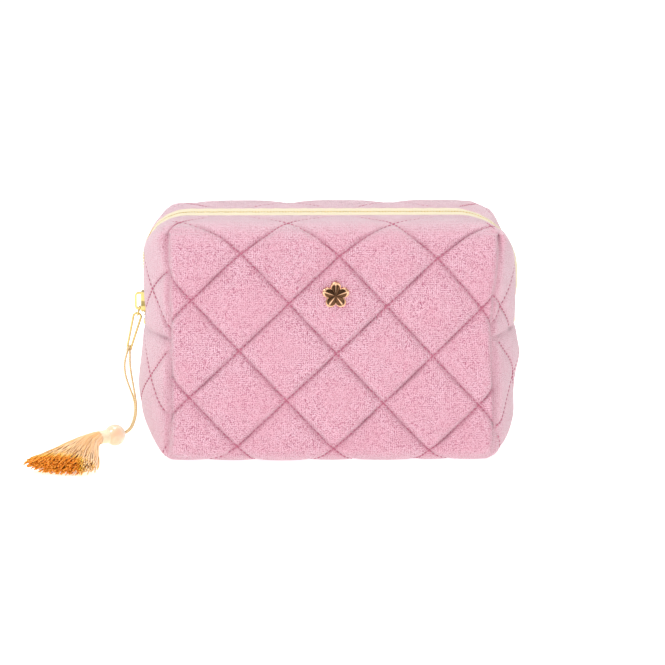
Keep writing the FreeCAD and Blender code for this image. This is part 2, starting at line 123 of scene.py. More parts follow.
# ---- shader maths -----------------------------------------------------------------------------
class Link:
    """A shader socket. Python's operators on it add Math nodes."""

    def __init__(self, finish, socket):
        self.finish = finish
        self.socket = socket

    def maths(self, operation, *values):
        """A Math node on some values."""
        return self.finish.node("ShaderNodeMath", {"operation": operation}, dict(enumerate(values)))

    def __add__(self, other):
        return self.maths("ADD", self, other)

    __radd__ = __add__

    def __rsub__(self, other):
        return self.maths("SUBTRACT", other, self)

    def __mul__(self, other):
        return self.maths("MULTIPLY", self, other)

    __rmul__ = __mul__

    def larger(self, other):
        """The larger of this value and another."""
        return self.maths("MAXIMUM", self, other)


class Finish:
    """A procedural material, put together node by node."""

    def __init__(self, name):
        self.material = bpy.data.materials.new(name)
        self.material.use_nodes = True
        self.tree = self.material.node_tree
        self.tree.nodes.clear()

    def node(self, kind, settings=None, inputs=None, output=0):
        """Adds a node, sets its settings and then its sockets, and gives one output."""
        made = self.tree.nodes.new(kind)
        for key, value in (settings or {}).items():
            if key == "stops":
                ramp = made.color_ramp
                while len(ramp.elements) < len(value):
                    ramp.elements.new(1.0)
                for element, (position, colour) in zip(ramp.elements, value):
                    grey = not hasattr(colour, "__len__")
                    element.position = position
                    element.color = (*((colour,) * 3 if grey else colour), 1.0)
            else:
                setattr(made, key, value)
        for key, value in (inputs or {}).items():
            socket = made.inputs[key]
            if isinstance(value, Link):
                self.tree.links.new(value.socket, socket)
            elif socket.type == "RGBA" and len(value) == 3:
                socket.default_value = (*value, 1.0)
            else:
                socket.default_value = value
        return Link(self, made.outputs[output]) if made.outputs else None

    def place(self, scale=(1.0, 1.0, 1.0), uv=False):
        """Object or UV coordinates, scaled."""
        source = self.node("ShaderNodeTexCoord", output="UV" if uv else "Object")
        return self.node("ShaderNodeMapping", {}, {"Vector": source, "Scale": scale})

    def uv_values(self):
        """The first and the second UV value."""
        uv = self.node("ShaderNodeTexCoord", output="UV")
        return [self.node("ShaderNodeSeparateXYZ", {}, {0: uv}, axis) for axis in "XY"]

    def noise(self, vector, scale, detail=2.0, roughness=0.5, distortion=0.0):
        """Smooth noise from 0 to 1."""
        return self.node("ShaderNodeTexNoise", {}, {"Vector": vector, "Scale": scale, "Detail": detail,
                                                    "Roughness": roughness, "Distortion": distortion})

    def wave(self, vector, direction, scale, **more):
        """Bands from 0 to 1 that follow each other along a direction; names use _ for spaces."""
        inputs = {key.replace("_", " "): value for key, value in more.items()}
        return self.node("ShaderNodeTexWave", {"bands_direction": direction},
                         {"Vector": vector, "Scale": scale, **inputs}, "Fac")

    def attribute(self, name):
        """A value that the mesh carries for each of its points."""
        return self.node("ShaderNodeAttribute", {"attribute_name": name}, output="Fac")

    def ramp(self, factor, stops):
        """A colour or value read off a ramp."""
        return self.node("ShaderNodeValToRGB", {"stops": stops}, {"Fac": factor}, "Color")

    def mix(self, factor, first, second):
        """Two colours mixed. The node's colour sockets are its inputs 6 and 7 and its output 2."""
        return self.node("ShaderNodeMix", {"data_type": "RGBA"}, {0: factor, 6: first, 7: second}, 2)

    def bump(self, height, distance, strength):
        """A bump whose height is in metres when multiplied by distance."""
        return self.node("ShaderNodeBump", {}, {"Height": height, "Distance": distance,
                                                "Strength": strength})

    def surface(self, **sockets):
        """Closes the material with a Principled shader; names use _ for spaces."""
        inputs = {key.replace("_", " "): value for key, value in sockets.items()}
        shader = self.node("ShaderNodeBsdfPrincipled", {}, inputs)
        self.node("ShaderNodeOutputMaterial", {}, {"Surface": shader})
        return self.material


# ---- meshes -----------------------------------------------------------------------------------
def grid_quads(rows, columns, round_rows=False, round_columns=False, flip=False):
    """Faces of a grid of rows x columns points numbered row by row, joined end to end if round."""
    r = np.arange(rows if round_rows else rows - 1)
    c = np.arange(columns if round_columns else columns - 1)
    r, c = np.meshgrid(r, c, indexing="ij")
    r2, c2 = (r + 1) % rows, (c + 1) % columns
    quads = np.stack([r * columns + c, r * columns + c2, r2 * columns + c2, r2 * columns + c], -1)
    quads = quads.reshape(-1, 4)
    return quads[:, ::-1] if flip else quads


def make_piece(name, points, faces, finish, uv=None):
    """A smooth mesh object at the origin from points in millimetres. uv gives one pair for each point."""
    mesh = bpy.data.meshes.new(name)
    mesh.from_pydata((np.asarray(points, float) * MM).tolist(), [], [list(map(int, f)) for f in faces])
    mesh.validate()
    mesh.polygons.foreach_set("use_smooth", np.ones(len(mesh.polygons), bool))
    if uv is not None:
        corners = np.zeros(len(mesh.loops), np.int32)
        mesh.loops.foreach_get("vertex_index", corners)
        layer = mesh.uv_layers.new(name="UVMap")
        layer.data.foreach_set("uv", np.asarray(uv, float)[corners].astype(np.float32).ravel())
    mesh.materials.append(finish)
    mesh.update()
    piece = bpy.data.objects.new(name, mesh)
    bpy.context.scene.collection.objects.link(piece)
    return piece


def repeated(shape_points, shape_faces, origins, first, second, third):
    """Copies of one small shape: each point goes to origin + x first + y second + z third."""
    count, size = len(origins), len(shape_points)
    points = (origins[:, None, :] + shape_points[None, :, 0:1] * first[:, None, :]
              + shape_points[None, :, 1:2] * second[:, None, :]
              + shape_points[None, :, 2:3] * third[:, None, :])
    faces = shape_faces[None, :, :] + (np.arange(count) * size)[:, None, None]
    return points.reshape(-1, 3), faces.reshape(-1, shape_faces.shape[1])


def unit(vectors):
    """Vectors scaled to length 1."""
    length = np.linalg.norm(vectors, axis=-1, keepdims=True)
    return vectors / np.maximum(length, 1e-12)


def ease(value):
    """Clipped to 0..1 and eased: x squared times (3 - 2 x)."""
    t = np.clip(value, 0.0, 1.0)
    return t * t * (3 - 2 * t)


def ripple(x, y, z, size, seed, waves=9):
    """Gentle uneven noise from about -1 to 1: sine waves of random directions, about size long, added
    up and divided by the square root of their number."""
    draw = np.random.default_rng(seed)
    total = np.zeros_like(x)
    for _ in range(waves):
        way = draw.normal(size=3)
        way = way / np.linalg.norm(way) * (2 * math.pi / (size * draw.uniform(0.7, 1.5)))
        total = total + np.sin(x * way[0] + y * way[1] + z * way[2] + draw.uniform(0, 2 * math.pi))
    return total / math.sqrt(waves)


def bell(value, centre, width):
    """A bell curve: 1 at the centre, falling off to each side over about width."""
    return np.exp(-((value - centre) / width) ** 2)


def full_turn(count):
    """Angles of count points evenly spaced round a circle."""
    return np.linspace(0, 2 * math.pi, count, endpoint=False)


def tube_points(path, radius, sides, across=(0.0, 0.0, 1.0)):
    """Rings of a round tube along a path of points. The path never runs along across."""
    way = unit(np.gradient(path, axis=0))
    first = unit(np.cross(way, np.asarray(across, float)))
    second = np.cross(first, way)
    turn = full_turn(sides)
    ring = (np.cos(turn)[None, :, None] * first[:, None, :]
            + np.sin(turn)[None, :, None] * second[:, None, :])
    return (path[:, None, :] + radius * ring).reshape(-1, 3)


# ---- the bag's form ---------------------------------------------------------------------------
FACE_ROWS = 140                     # grid rows up the face
BAND_ROWS = 53                      # grid rows from the face's edge to the middle of the bag
ROLL_ROWS = 5                       # grid rows in the rolled edge
ROWS_A_DIAMOND = 58.6               # grid rows over one diamond

# Shape numbers that are not offered as sizes, in millimetres where nothing else is said.
RIGHT_LESS = 3.0                    # the right side stands this much nearer the middle than the left
RIGHT_ROUNDER = 7.5                 # added to the shoulder's radius on the right
FACE_FOOT = 3.6                     # the face's lower edge, up the wrap
SEAM_DROP = 4.0                     # the face's side seams lie this far behind its middle
SEAM_TUCK = 2.4                     # the part of that drop that is taken up close to the seam
TUCK_SHARE = 0.1                    # how close, as a share of the half width
SLOT_HALF = 9.5                     # half the width of the zip's slot
SLOT_FADE = 2.4                     # height over which the slot closes at the zip's end
CORNER_FADE = 36.0                  # breadth over which a side turns into the top or the bottom
PATTERN_TILT = math.radians(1.75)   # turn of the quilting
PATTERN_SHIFT = 1.2                 # the quilting's middle node stands this far to the right
NODE_HEIGHT = 55.2                  # and this high
PATTERN_STRETCH = 1.022             # height of a diamond over its width
THREAD_FLAT = 0.3                   # a groove's bottom is rounded over this breadth
PUFF_POWER = 3.0                    # a diamond's profile, worked out as quilting says
PUFF_ROOT = 0.42
FAR = 99.0                          # a distance at which no groove is felt
SEAM_DEPTH = 0.9                    # depth of the side seams' groove
CROSS_DEPTH = 0.8                   # depth of the groove that goes on from the zip's end
ROLL_RADIUS = 1.5                   # of the rolled edge at the slot
ROLL_TURN = math.radians(150)
ZIP_LIFT = 1.7                      # how far the zip rises out of its slot over the top
ZIP_CROWN = 0.3                     # extra roundness of the tape down the right side


class BagForm:
    """The bag's rest shape as a function of flat cloth coordinates (u, v) for one half.

    The half is unfolded into a rectangle. The face is |u| <= half_face, low <= v <= high, where v is
    the distance up the wrap. Around it lies a band: its depth over the face's edge runs from 0 at the
    seam or fold to band at the middle of the bag's depth. Each ring of equal depth becomes a rounded
    rectangle seen from the front; the corner radii grow from 0 at the face to shoulder and foot.
    """

    def __init__(self, sizes):
        self.half_face = sizes.face_width * 500
        self.half_width = sizes.width * 500
        self.right_width = self.half_width - RIGHT_LESS
        self.height = sizes.height * 1000
        self.half_depth = sizes.depth * 500
        self.brow = sizes.brow * 1000
        self.heel = sizes.heel * 1000
        self.shoulder = sizes.shoulder * 1000
        self.right_shoulder = self.shoulder + RIGHT_ROUNDER
        self.foot = sizes.foot * 1000
        self.diamond = sizes.diamond * 1000
        self.puff = sizes.puff * 1000
        self.stitch = sizes.stitch * 1000
        self.zip_end = sizes.zip_end * 1000
        self.step = self.diamond / ROWS_A_DIAMOND
        self.low = FACE_FOOT
        self.high = self.low + FACE_ROWS * self.step
        self.band = BAND_ROWS * self.step
        self.middle = (self.low + self.high) / 2
        self.half_high = (self.high - self.low) / 2
        seam_depth = self.half_depth - SEAM_DROP
        bulge = self.half_width - self.half_face
        self.side_radius = (seam_depth ** 2 + bulge ** 2) / (2 * bulge)
        self.side_angle = math.asin(seam_depth / self.side_radius)
        self.top_end = self.height - self.brow + self.brow * math.pi / 2 + self.half_depth - self.brow
        self.bottom_end = self.heel - self.heel * math.pi / 2 - (self.half_depth - self.heel)
        self.slot_share = 1 - math.asin(SLOT_HALF / self.side_radius) / self.side_angle

    def wrap(self, s):
        """(distance from the mid plane, height) at distance s up the wrap: under the bottom, round
        the heel, up the face, round the brow and over the top."""
        over = s - (self.height - self.brow)
        under = self.heel - s
        up_angle = np.clip(over / self.brow, 0, math.pi / 2)
        down_angle = np.clip(under / self.heel, 0, math.pi / 2)
        flat_top = np.clip(over - self.brow * math.pi / 2, 0, None)
        flat_bottom = np.clip(under - self.heel * math.pi / 2, 0, None)
        away = (self.half_depth - self.brow * (1 - np.cos(up_angle)) - flat_top
                - self.heel * (1 - np.cos(down_angle)) - flat_bottom)
        height = np.where(over > 0, self.height - self.brow + self.brow * np.sin(up_angle),
                          np.where(under > 0, self.heel - self.heel * np.sin(down_angle), s))
        return away, height

    def ring(self, u, v):
        """Depth over the face's edge, its share of the band, the place (a, b) on the ring from -1 to 1,
        and upper, which is 1 above the zip's end and 0 below it."""
        over = np.maximum(np.abs(u) - self.half_face, np.abs(v - self.middle) - self.half_high)
        out = np.maximum(over, 0)
        a = u / (self.half_face + out)
        b = (v - self.middle) / (self.half_high + out)
        upper = ease((self.middle + self.half_high * b - self.zip_end) / SLOT_FADE + 0.5)
        share = np.clip(over, 0, self.band) / self.band
        share = share * (1 - upper * (1 - self.slot_share))
        return over, share, a, b, upper

    def bow(self, a):
        """How far the face lies behind its middle at a share a of its half width."""
        edge = np.clip((np.abs(a) - (1 - TUCK_SHARE)) / TUCK_SHARE, 0, 1)
        return ((SEAM_DROP - SEAM_TUCK) * a ** 2
                + SEAM_TUCK * (1 - np.sqrt(np.clip(1 - edge ** 2, 0, 1))))

    def place(self, u, v):
        """Point of the smooth form, before quilting. Front half: y is negative."""
        over, share, a, b, _ = self.ring(u, v)
        angle = self.side_angle * (1 - share)
        half_x = self.half_width - self.side_radius * (1 - np.cos(angle))
        top_away, top_height = self.wrap(self.high + share * (self.top_end - self.high))
        low_away, low_height = self.wrap(self.low - share * (self.low - self.bottom_end))
        face_away, face_height = self.wrap(self.middle + self.half_high * b)
        least, most = self.wrap(np.array(self.low))[1], self.wrap(np.array(self.high))[1]
        swell = 1 - (1 - share) ** 2
        half_x = np.where(a > 0, half_x - (self.half_width - self.right_width) * swell, half_x)
        x = a * half_x
        z = low_height + (top_height - low_height) * (face_height - least) / (most - least)
        ring_part = over > 0
        side_away = (face_away - SEAM_DROP) * np.sin(angle) / math.sin(self.side_angle)
        away = np.where(ring_part, side_away, face_away - self.bow(a))
        shoulder = np.where(a > 0, self.right_shoulder, self.shoulder)
        for edge, sign, radius, cap in ((top_height, 1, shoulder, top_away),
                                        (low_height, -1, self.foot, low_away)):
            across, along = half_x - np.abs(x), sign * (edge - z)
            r = np.maximum(radius * swell, 1e-6)
            near = ring_part & (across < r) & (along < r) & (b * sign > 0)
            turn = (0.5 + (across - along) / (2 * r)) * math.pi / 2
            cap_away = cap - self.bow(a) * (1 - share)
            weight = ease(0.5 + (across - along) / CORNER_FADE) * (b * sign > 0)
            away = np.where(ring_part, away + weight * (cap_away - side_away), away)
            x = np.where(near, np.sign(x) * (half_x - r + r * np.cos(turn)), x)
            z = np.where(near, edge - sign * (r - r * np.sin(turn)), z)
        far = np.clip(np.abs(x) / self.half_face, 0, 1.05) ** 4 * (1 - swell * ring_part)
        x = x + far * self.seam_sway(x, z)
        near_side = np.where(ring_part, np.clip(np.abs(x) / half_x, 0, 1) ** 4, 0)
        x = x + self.side_sway(x, z) * swell * near_side
        return np.stack([x, -away, z], -1)

    def seam_sway(self, x, z):
        """How far the face's side seams wander along x. The right one is drawn in at mid height, by a
        bell, and at the foot, by the square of the height left over, and the left one at the foot."""
        right = -2.6 * bell(z, 62, 26) - 4.0 * np.clip((16 - z) / 16, 0, 1) ** 2
        left = -1.2 * np.clip((50 - z) / 50, 0, 1)
        return np.where(x > 0, right, left)

    def side_sway(self, x, z):
        """How far the sides stand out along x beyond their arcs, by one bell in height for each."""
        return np.where(x > 0, 2.6 * bell(z, 48, 9), -3.0 * bell(z, 30, 17))

    def inside(self, u, v, limit):
        """The same place on the ring, but no deeper than limit."""
        over, _, a, b, _ = self.ring(u, v)
        cut = np.minimum(over, limit)
        deep = over > limit
        return (np.where(deep, a * (self.half_face + cut), u),
                np.where(deep, self.middle + b * (self.half_high + cut), v))

    def normal(self, u, v, reach=0.5):
        """Outward unit normal of the smooth form, from small steps to each side."""
        u, v = self.inside(u, v, self.band - reach - 0.1)
        du = self.place(u + reach, v) - self.place(u - reach, v)
        dv = self.place(u, v + reach) - self.place(u, v - reach)
        return unit(np.cross(du, dv))

    def on_side(self, u, v):
        """Whether a place on the band belongs to a side rather than to the top or the bottom."""
        return np.abs(u) - self.half_face > np.abs(v - self.middle) - self.half_high

    def pattern(self, u, v):
        """Quilting coordinates: the face's own on the face, and those of the top or the bottom, carried
        on round the shoulders and feet, on the band."""
        over, share, a, b, _ = self.ring(u, v)
        side = self.on_side(u, v)
        up = b > (self.zip_end - self.middle) / self.half_high
        along = self.half_face + self.half_high * np.where(up, 1 - b, 1 + b)
        q = np.where(side, np.sign(u) * along, a * self.half_face)
        s_up = self.high + share * (self.top_end - self.high)
        s_down = self.low - share * (self.low - self.bottom_end)
        s = np.where(up, s_up, s_down)
        q, s = np.where(over > 0, q, u), np.where(over > 0, s, v)
        return q, s

    def to_lattice(self, q, s):
        """Quilting coordinates measured from the pattern's middle node, along its tilted axes."""
        cosine, sine = math.cos(PATTERN_TILT), math.sin(PATTERN_TILT)
        rise = (s - NODE_HEIGHT) / PATTERN_STRETCH
        return q * cosine - rise * sine, rise * cosine + q * sine

    def from_lattice(self, p, r):
        """The other way: quilting coordinates of a place on the tilted pattern."""
        cosine, sine = math.cos(PATTERN_TILT), math.sin(PATTERN_TILT)
        rise = r * cosine - p * sine
        return p * cosine + r * sine, NODE_HEIGHT + rise * PATTERN_STRETCH

    def quilting(self, u, v):
        """Height of the quilted surface over the smooth form, and how deep in a crease it lies, 0 to 1.

        The height is 0 on top of a diamond and -puff in its stitching. Each of the two families of
        stitch lines gives a rounded profile: with x the distance to the nearest line over half the
        distance between lines, take 1 - x, raise it to PUFF_POWER, take that from 1 and raise the rest
        to PUFF_ROOT. The two profiles are multiplied. Seams are narrow bell-shaped grooves."""
        over, _, _, b, upper = self.ring(u, v)
        q, s = self.pattern(u, v)
        p, r = self.to_lattice(q - PATTERN_SHIFT, s)
        height = np.ones_like(q)
        nearest = np.full_like(q, FAR)
        half = self.diamond / (2 * math.sqrt(2))
        for sum_of in (p + r, p - r):
            steps = sum_of / self.diamond
            gap = np.abs(steps - np.round(steps)) * self.diamond / math.sqrt(2)
            gap = np.sqrt(gap ** 2 + THREAD_FLAT ** 2) - THREAD_FLAT
            nearest = np.minimum(nearest, gap)
            x = np.clip(gap / half, 0, 1)
            height = height * (1 - (1 - x) ** PUFF_POWER) ** PUFF_ROOT
        x, y, z = np.moveaxis(self.place(u, v), -1, 0)
        height = height * (1 + 0.10 * ripple(x, y, z, 45.0, 3))
        pucker = bell(nearest, 1.8, 2.0) * ripple(q, s, q * 0, 5.0, 5, 14)
        height = height + 0.045 * pucker
        side = self.on_side(u, v) & (over > 0)
        by_seam = np.abs(v - self.middle) < self.half_high + 6
        seam = np.where(by_seam, np.abs(np.abs(u) - self.half_face), FAR)
        reach_up = ease((self.high + 5 - v) / 10.0) * ease((v - self.low + 5) / 10.0)
        cross = np.where(side, np.abs(self.middle + self.half_high * b - self.zip_end), FAR)
        pull = bell(seam, 0, 2.0) * reach_up
        pull_cross = bell(cross, 0, 2.4) * ease(over / 3.0)
        deepest = np.maximum(pull, pull_cross)
        height = height * (1 - deepest * 0.3)
        result = self.puff * (height - 1) - SEAM_DEPTH * pull - CROSS_DEPTH * pull_cross
        flatter_top = 0.5 * ease((s - self.high - 2) / 14.0)
        flatter_foot = 0.55 * ease((12.0 - s) / 12.0)
        result = result * (1 - flatter_top - flatter_foot)
        edge = ease((over - self.band + 7.0) / 6.0) * upper
        result = result * (1 - edge) - (0.45 + 0.85 * side) * edge
        beside_seam = bell(over, 5.0, 5.0) * side
        # crease also sets how much painted shade the towelling gets in the stitch and seam grooves.
        crease = np.maximum(bell(nearest, 0, 0.75) * (1 - edge), deepest * 0.9)
        return result + 0.5 * beside_seam, crease

    def cloth(self, u, v):
        """Point of the quilted surface, its smooth normal and how deep it lies in a crease, 0 to 1.

        Past the band's end the cloth rolls inwards at the zip's slot on a small circle, and goes
        straight inwards where the two halves are sewn together."""
        over, _, _, _, upper = self.ring(u, v)
        inner_u, inner_v = self.inside(u, v, self.band)
        base = self.place(inner_u, inner_v)
        normal = self.normal(u, v)
        height, crease = self.quilting(inner_u, inner_v)
        point = base + normal * height[..., None]
        back_u, back_v = self.inside(u, v, self.band - 1.5)
        outward = unit(base - self.place(back_u, back_v) + 1e-9)
        past = np.clip(over - self.band, 0, None) / self.step
        roll = past / ROLL_ROWS * ROLL_TURN
        rolled = (normal * (-ROLL_RADIUS * (1 - np.cos(roll)))[..., None]
                  + outward * (ROLL_RADIUS * np.sin(roll) * upper)[..., None])
        point = point + np.where((past > 0)[..., None], rolled, 0)
        point[..., 2] = np.maximum(point[..., 2], 0.0)
        return point, normal, crease

    def spine(self, distance):
        """The zip's line seen from the front: from the left end up, over the top and down the right.

        Gives the point (x, z) and the way outwards at a distance along it: a straight rise, a quarter
        circle, the straight top, a wider quarter circle and a straight fall."""
        rise, arc, top, last_arc, _ = self.spine_parts()
        up = np.clip(distance, None, rise)
        first = np.clip((distance - rise) / self.shoulder, 0, math.pi / 2)
        over = np.clip(distance - rise - arc, 0, top)
        second = np.clip((distance - rise - arc - top) / self.right_shoulder, 0, math.pi / 2)
        down = np.clip(distance - rise - arc - top - last_arc, 0, None)
        turn = first + second
        out = np.stack([-np.cos(turn), np.sin(turn)], -1)
        x = (-self.half_width + self.shoulder * (1 - np.cos(first)) + over
             + self.right_shoulder * np.sin(second))
        z = (self.zip_end + up + self.shoulder * np.sin(first)
             - self.right_shoulder * (1 - np.cos(second)) - down)
        return np.stack([x, z], -1), out

    def spine_parts(self):
        """Lengths of the zip line's five stretches."""
        return (self.height - self.shoulder - self.zip_end, self.shoulder * math.pi / 2,
                self.half_width - self.shoulder + self.right_width - self.right_shoulder,
                self.right_shoulder * math.pi / 2, self.height - self.right_shoulder - self.zip_end)

    def spine_length(self):
        """From one end of the zip to the other."""
        return sum(self.spine_parts())

    def lift(self, distance):
        """How far the zip rises out of its slot: none by the slider, most over the top."""
        from_slider = ease((distance - 38) / 18)
        from_end = ease((self.spine_length() - distance - 6) / 14)
        return ZIP_LIFT * from_slider * from_end

    def down_right(self, distance):
        """0 over the top and 1 down the right side, where the tape's edges stay under the cloth."""
        return ease((distance - self.spine_length() + 80) / 30)

    def crown(self, distance):
        """Extra roundness of the zip where it is pushed out by the right side's bulge."""
        from_end = ease((self.spine_length() - distance - 4) / 14)
        return ZIP_CROWN * self.down_right(distance) * from_end


def flipped(points):
    """The same points on the back half."""
    return points * np.array([1.0, -1.0, 1.0])


SETTLE = 1.6            # drop of the front of the top, in millimetres
SETTLE_FROM = 96        # height at which the drop begins
SETTLE_OVER = 24        # and the height over which it grows
SETTLE_BACK = 17        # depth behind the middle at which it has gone


def settled(points):
    """Points let down towards the front of the top. The drop is eased in with height and out behind
    the middle of the depth."""
    x, y, z = np.moveaxis(np.asarray(points, float), -1, 0)
    drop = SETTLE * ease((z - SETTLE_FROM) / SETTLE_OVER) * (1 - ease(y / SETTLE_BACK))
    return np.stack([x, y, z - drop], -1)


def placed(points, mirror):
    """Points worked out for the front half, settled, or first flipped to the back half."""
    return settled(flipped(points) if mirror else points)


# Each half: its name, its lip's body, and whether it mirrors the front.
HALVES = (("front", "front_lip", False), ("back", "back_lip", True))


def bend_with_lip(piece):
    """Bakes the piece's placement into its mesh."""
    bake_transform(piece)


# ---- finishes ---------------------------------------------------------------------------------
def tinted(colour, *shares):
    """A colour times one share, or times one share for each channel, and no brighter than 1."""
    shares = shares if len(shares) == 3 else shares * 3
    return tuple(min(1.0, channel * share) for channel, share in zip(colour, shares))


def towelling_finish(colours):
    """Looped terry: loops in loose rows, with painted shade between loops and painted highlights on their
    tops, painted shade in the grooves and a painted pale sheen where the cloth turns from the front.

    Height and colour share one pattern: cell tops, plus fine noise, plus rows one way or the other."""
    f = Finish("terry_loops")
    where = f.place()
    wander = f.noise(where, 260.0, 2.0)
    loops = f.node("ShaderNodeTexVoronoi", {"feature": "F1"}, {"Vector": where, "Scale": 1900.0,
                                                               "Randomness": 0.9}, "Distance")
    fine = f.noise(where, 3000.0, 1.0, 0.5)
    tufts = f.noise(where, 700.0, 2.0, 0.55)
    rows, ranks = [f.wave(where, axis, 320.0, Distortion=2.5, Detail=1.0, Detail_Scale=60.0)
                   for axis in "ZX"]
    choice = f.ramp(wander, [(0.42, 0.0), (0.58, 1.0)])
    knit = rows * choice + ranks * (1 - choice)
    pile = (1 - loops * 1.1) * 0.46 + fine * 0.68 + knit * 0.14 + tufts * 0.13
    base = colours.towelling
    # The ramp follows the pile's height: partly the loops' own uneven tone, partly painted shade between the
    # loops and painted highlights on their tops.
    dark = tinted(base, 0.60, 0.28, 0.38)
    pale = tinted(base, 1.18, 1.60, 1.48)
    colour = f.ramp(pile, [(0.49, dark), (0.66, base), (0.83, pale)])
    cloud = f.noise(where, 45.0, 3.0, 0.55)
    warm = tinted(base, 1.02, 0.90, 0.92)
    colour = f.mix(f.ramp(cloud, [(0.40, 0.0), (0.62, 1.0)]) * 0.3, colour, warm)
    # Painted shade: the stitch and seam grooves are painted darker, towards the thread's colour.
    colour = f.mix(f.attribute("crease") * 0.42, colour, colours.stitching)
    # Painted sheen: the cloth is painted paler where it turns away from the front, on the sides, the top and
    # the bottom.
    painted_sheen_tint = (0.93, 0.71, 0.76)
    colour = f.mix(f.attribute("turned") * 0.50, colour, painted_sheen_tint)
    normal = f.bump(pile, 0.0010, 0.85)
    return f.surface(Base_Color=colour, Roughness=0.95, Normal=normal, Sheen_Weight=1.0,
                     Sheen_Roughness=0.35, Sheen_Tint=(1.0, 0.93, 0.94, 1.0), Specular_IOR_Level=0.2)


def stitch_finish(colours):
    """Twisted quilting thread."""
    f = Finish("quilting_thread")
    twist = f.noise(f.place(), 3000.0, 1.0)
    colour = f.mix(twist, tinted(colours.stitching, 0.7), tinted(colours.stitching, 1.3))
    return f.surface(Base_Color=colour, Roughness=0.7, Sheen_Weight=0.2)


def lining_finish(colours):
    """Plain weave lining."""
    f = Finish("woven_lining")
    where = f.place()
    warp, weft = [f.wave(where, axis, 700.0, Distortion=0.6) for axis in "XZ"]
    cloud = f.noise(where, 30.0, 3.0)
    weave = warp * weft
    colour = f.mix(weave * 0.5 + cloud * 0.3, tinted(colours.lining, 0.82), colours.lining)
    return f.surface(Base_Color=colour, Roughness=0.8, Normal=f.bump(weave, 0.0002, 0.6), Sheen_Weight=0.1)


def tape_finish(colours):
    """Herringbone zip tape, woven in fine ribs along its length."""
    f = Finish("tape_weave")
    where = f.place(uv=True)
    ribs = f.wave(where, "Y", 0.42)
    picks = f.wave(where, "DIAGONAL", 0.55)
    fuzz = f.noise(f.place(), 1500.0, 2.0)
    weave = ribs * 0.6 + picks * 0.4
    pale = tinted(colours.tape, 1.0, 1.05, 1.22)
    colour = f.mix(weave * 0.6 + fuzz * 0.4, tinted(colours.tape, 0.88), pale)
    return f.surface(Base_Color=colour, Roughness=0.75, Normal=f.bump(weave, 0.00025, 0.7),
                     Sheen_Weight=0.15)


def coil_finish(colours):
    """Gold-coloured nylon wire."""
    f = Finish("coil_wire")
    rub = f.noise(f.place(), 900.0, 2.0)
    colour = f.mix(rub, tinted(colours.coil, 0.75), tinted(colours.coil, 1.35))
    return f.surface(Base_Color=colour, Roughness=rub * 0.2 + 0.25, Metallic=0.35, Coat_Weight=0.3)


def metal_finish(name, colour, wear, roughness):
    """Plated metal with faint rubbing marks and slightly uneven polish."""
    f = Finish(name)
    where = f.place()
    rub = f.noise(where, 700.0, 4.0, 0.6)
    scratch = f.noise(f.place((1.0, 1.0, 9.0)), 900.0, 2.0)
    shade = f.mix(rub * wear, colour, tinted(colour, 0.62))
    return f.surface(Base_Color=shade, Metallic=1.0, Roughness=rub * 0.14 + roughness,
                     Normal=f.bump(rub * 0.6 + scratch * 0.4, 0.00006, 0.5))


def cord_finish(colours):
    """Silky twisted cord: slanted plies across the strand."""
    f = Finish("twisted_cord")
    plies = f.wave(f.place((1.0, 1.0, 1.4)), "DIAGONAL", 420.0, Distortion=0.4)
    fuzz = f.noise(f.place(), 2500.0, 2.0)
    colour = f.mix(plies * 0.7 + fuzz * 0.3, tinted(colours.cord, 0.86, 0.74, 0.55),
                   tinted(colours.cord, 1.12))
    return f.surface(Base_Color=colour, Roughness=0.5, Normal=f.bump(plies, 0.0003, 0.9), Sheen_Weight=0.3)


def bead_finish(colours):
    """Pearly bead: peach and cream clouds under a clear coat."""
    f = Finish("pearl_bead")
    cloud = f.noise(f.place(), 130.0, 2.0, 0.5, 0.6)
    cream = (0.93, 0.84, 0.62)
    colour = f.mix(f.ramp(cloud, [(0.40, 0.0), (0.62, 1.0)]), cream, colours.bead)
    return f.surface(Base_Color=colour, Roughness=0.28, Coat_Weight=0.7, Coat_Roughness=0.08,
                     Sheen_Weight=0.2)


def wrap_finish():
    """Cream thread wound round the tassel's neck."""
    f = Finish("neck_wrap")
    fuzz = f.noise(f.place(), 1800.0, 2.0)
    return f.surface(Base_Color=f.mix(fuzz, (0.86, 0.74, 0.48), (0.97, 0.92, 0.76)), Roughness=0.45,
                     Sheen_Weight=0.3)


def thread_finish(colours):
    """Silky tassel threads: peach along their length, deep orange towards their cut ends.

    The first UV value runs along a thread and the second is one random number for each."""
    f = Finish("silk_threads")
    along, own = f.uv_values()
    pale = tinted(colours.threads, 1.05, 1.20, 1.75)
    deep = tinted(colours.threads, 0.97, 0.86, 0.62)
    colour = f.mix(own, pale, deep)
    gold = (0.98, 0.56, 0.02)
    colour = f.mix(f.ramp(along + own * 0.06, [(0.86, 0.0), (0.97, 1.0)]), colour, gold)
    colour = f.mix(f.ramp(along, [(0.93, 0.0), (0.99, 1.0)]), colour, colours.cut_ends)
    silk = f.noise(f.place(), 900.0, 2.0)
    return f.surface(Base_Color=colour, Roughness=silk * 0.2 + 0.35, Sheen_Weight=0.25)


def floor_finish():
    """Plain white paper."""
    f = Finish("white_paper")
    tone = f.noise(f.place(), 3.0, 2.0)
    return f.surface(Base_Color=f.mix(tone, (0.80, 0.80, 0.80), (0.82, 0.82, 0.82)), Roughness=0.9,
                     Specular_IOR_Level=0.0, Emission_Color=(1.0, 1.0, 1.0, 1.0), Emission_Strength=0.68)


def finish_named(name, maker):
    """A material made once and then reused."""
    return bpy.data.materials.get(name) or maker()


# ---- operators --------------------------------------------------------------------------------
FLOOR_REACH = 3000      # half the floor's side, in millimetres
FLOOR_DROP = 0.3        # the floor lies this far under the bag
# Each round lamp: its name, its place and breadth in metres, and its power in watts.
LAMPS = (("key", (-1.0, -0.60, 1.20), 0.5, 9.6), ("top", (0.0, 0.10, 1.6), 0.9, 13.0),
         ("fill", (1.3, -0.75, 0.35), 0.9, 4.2))


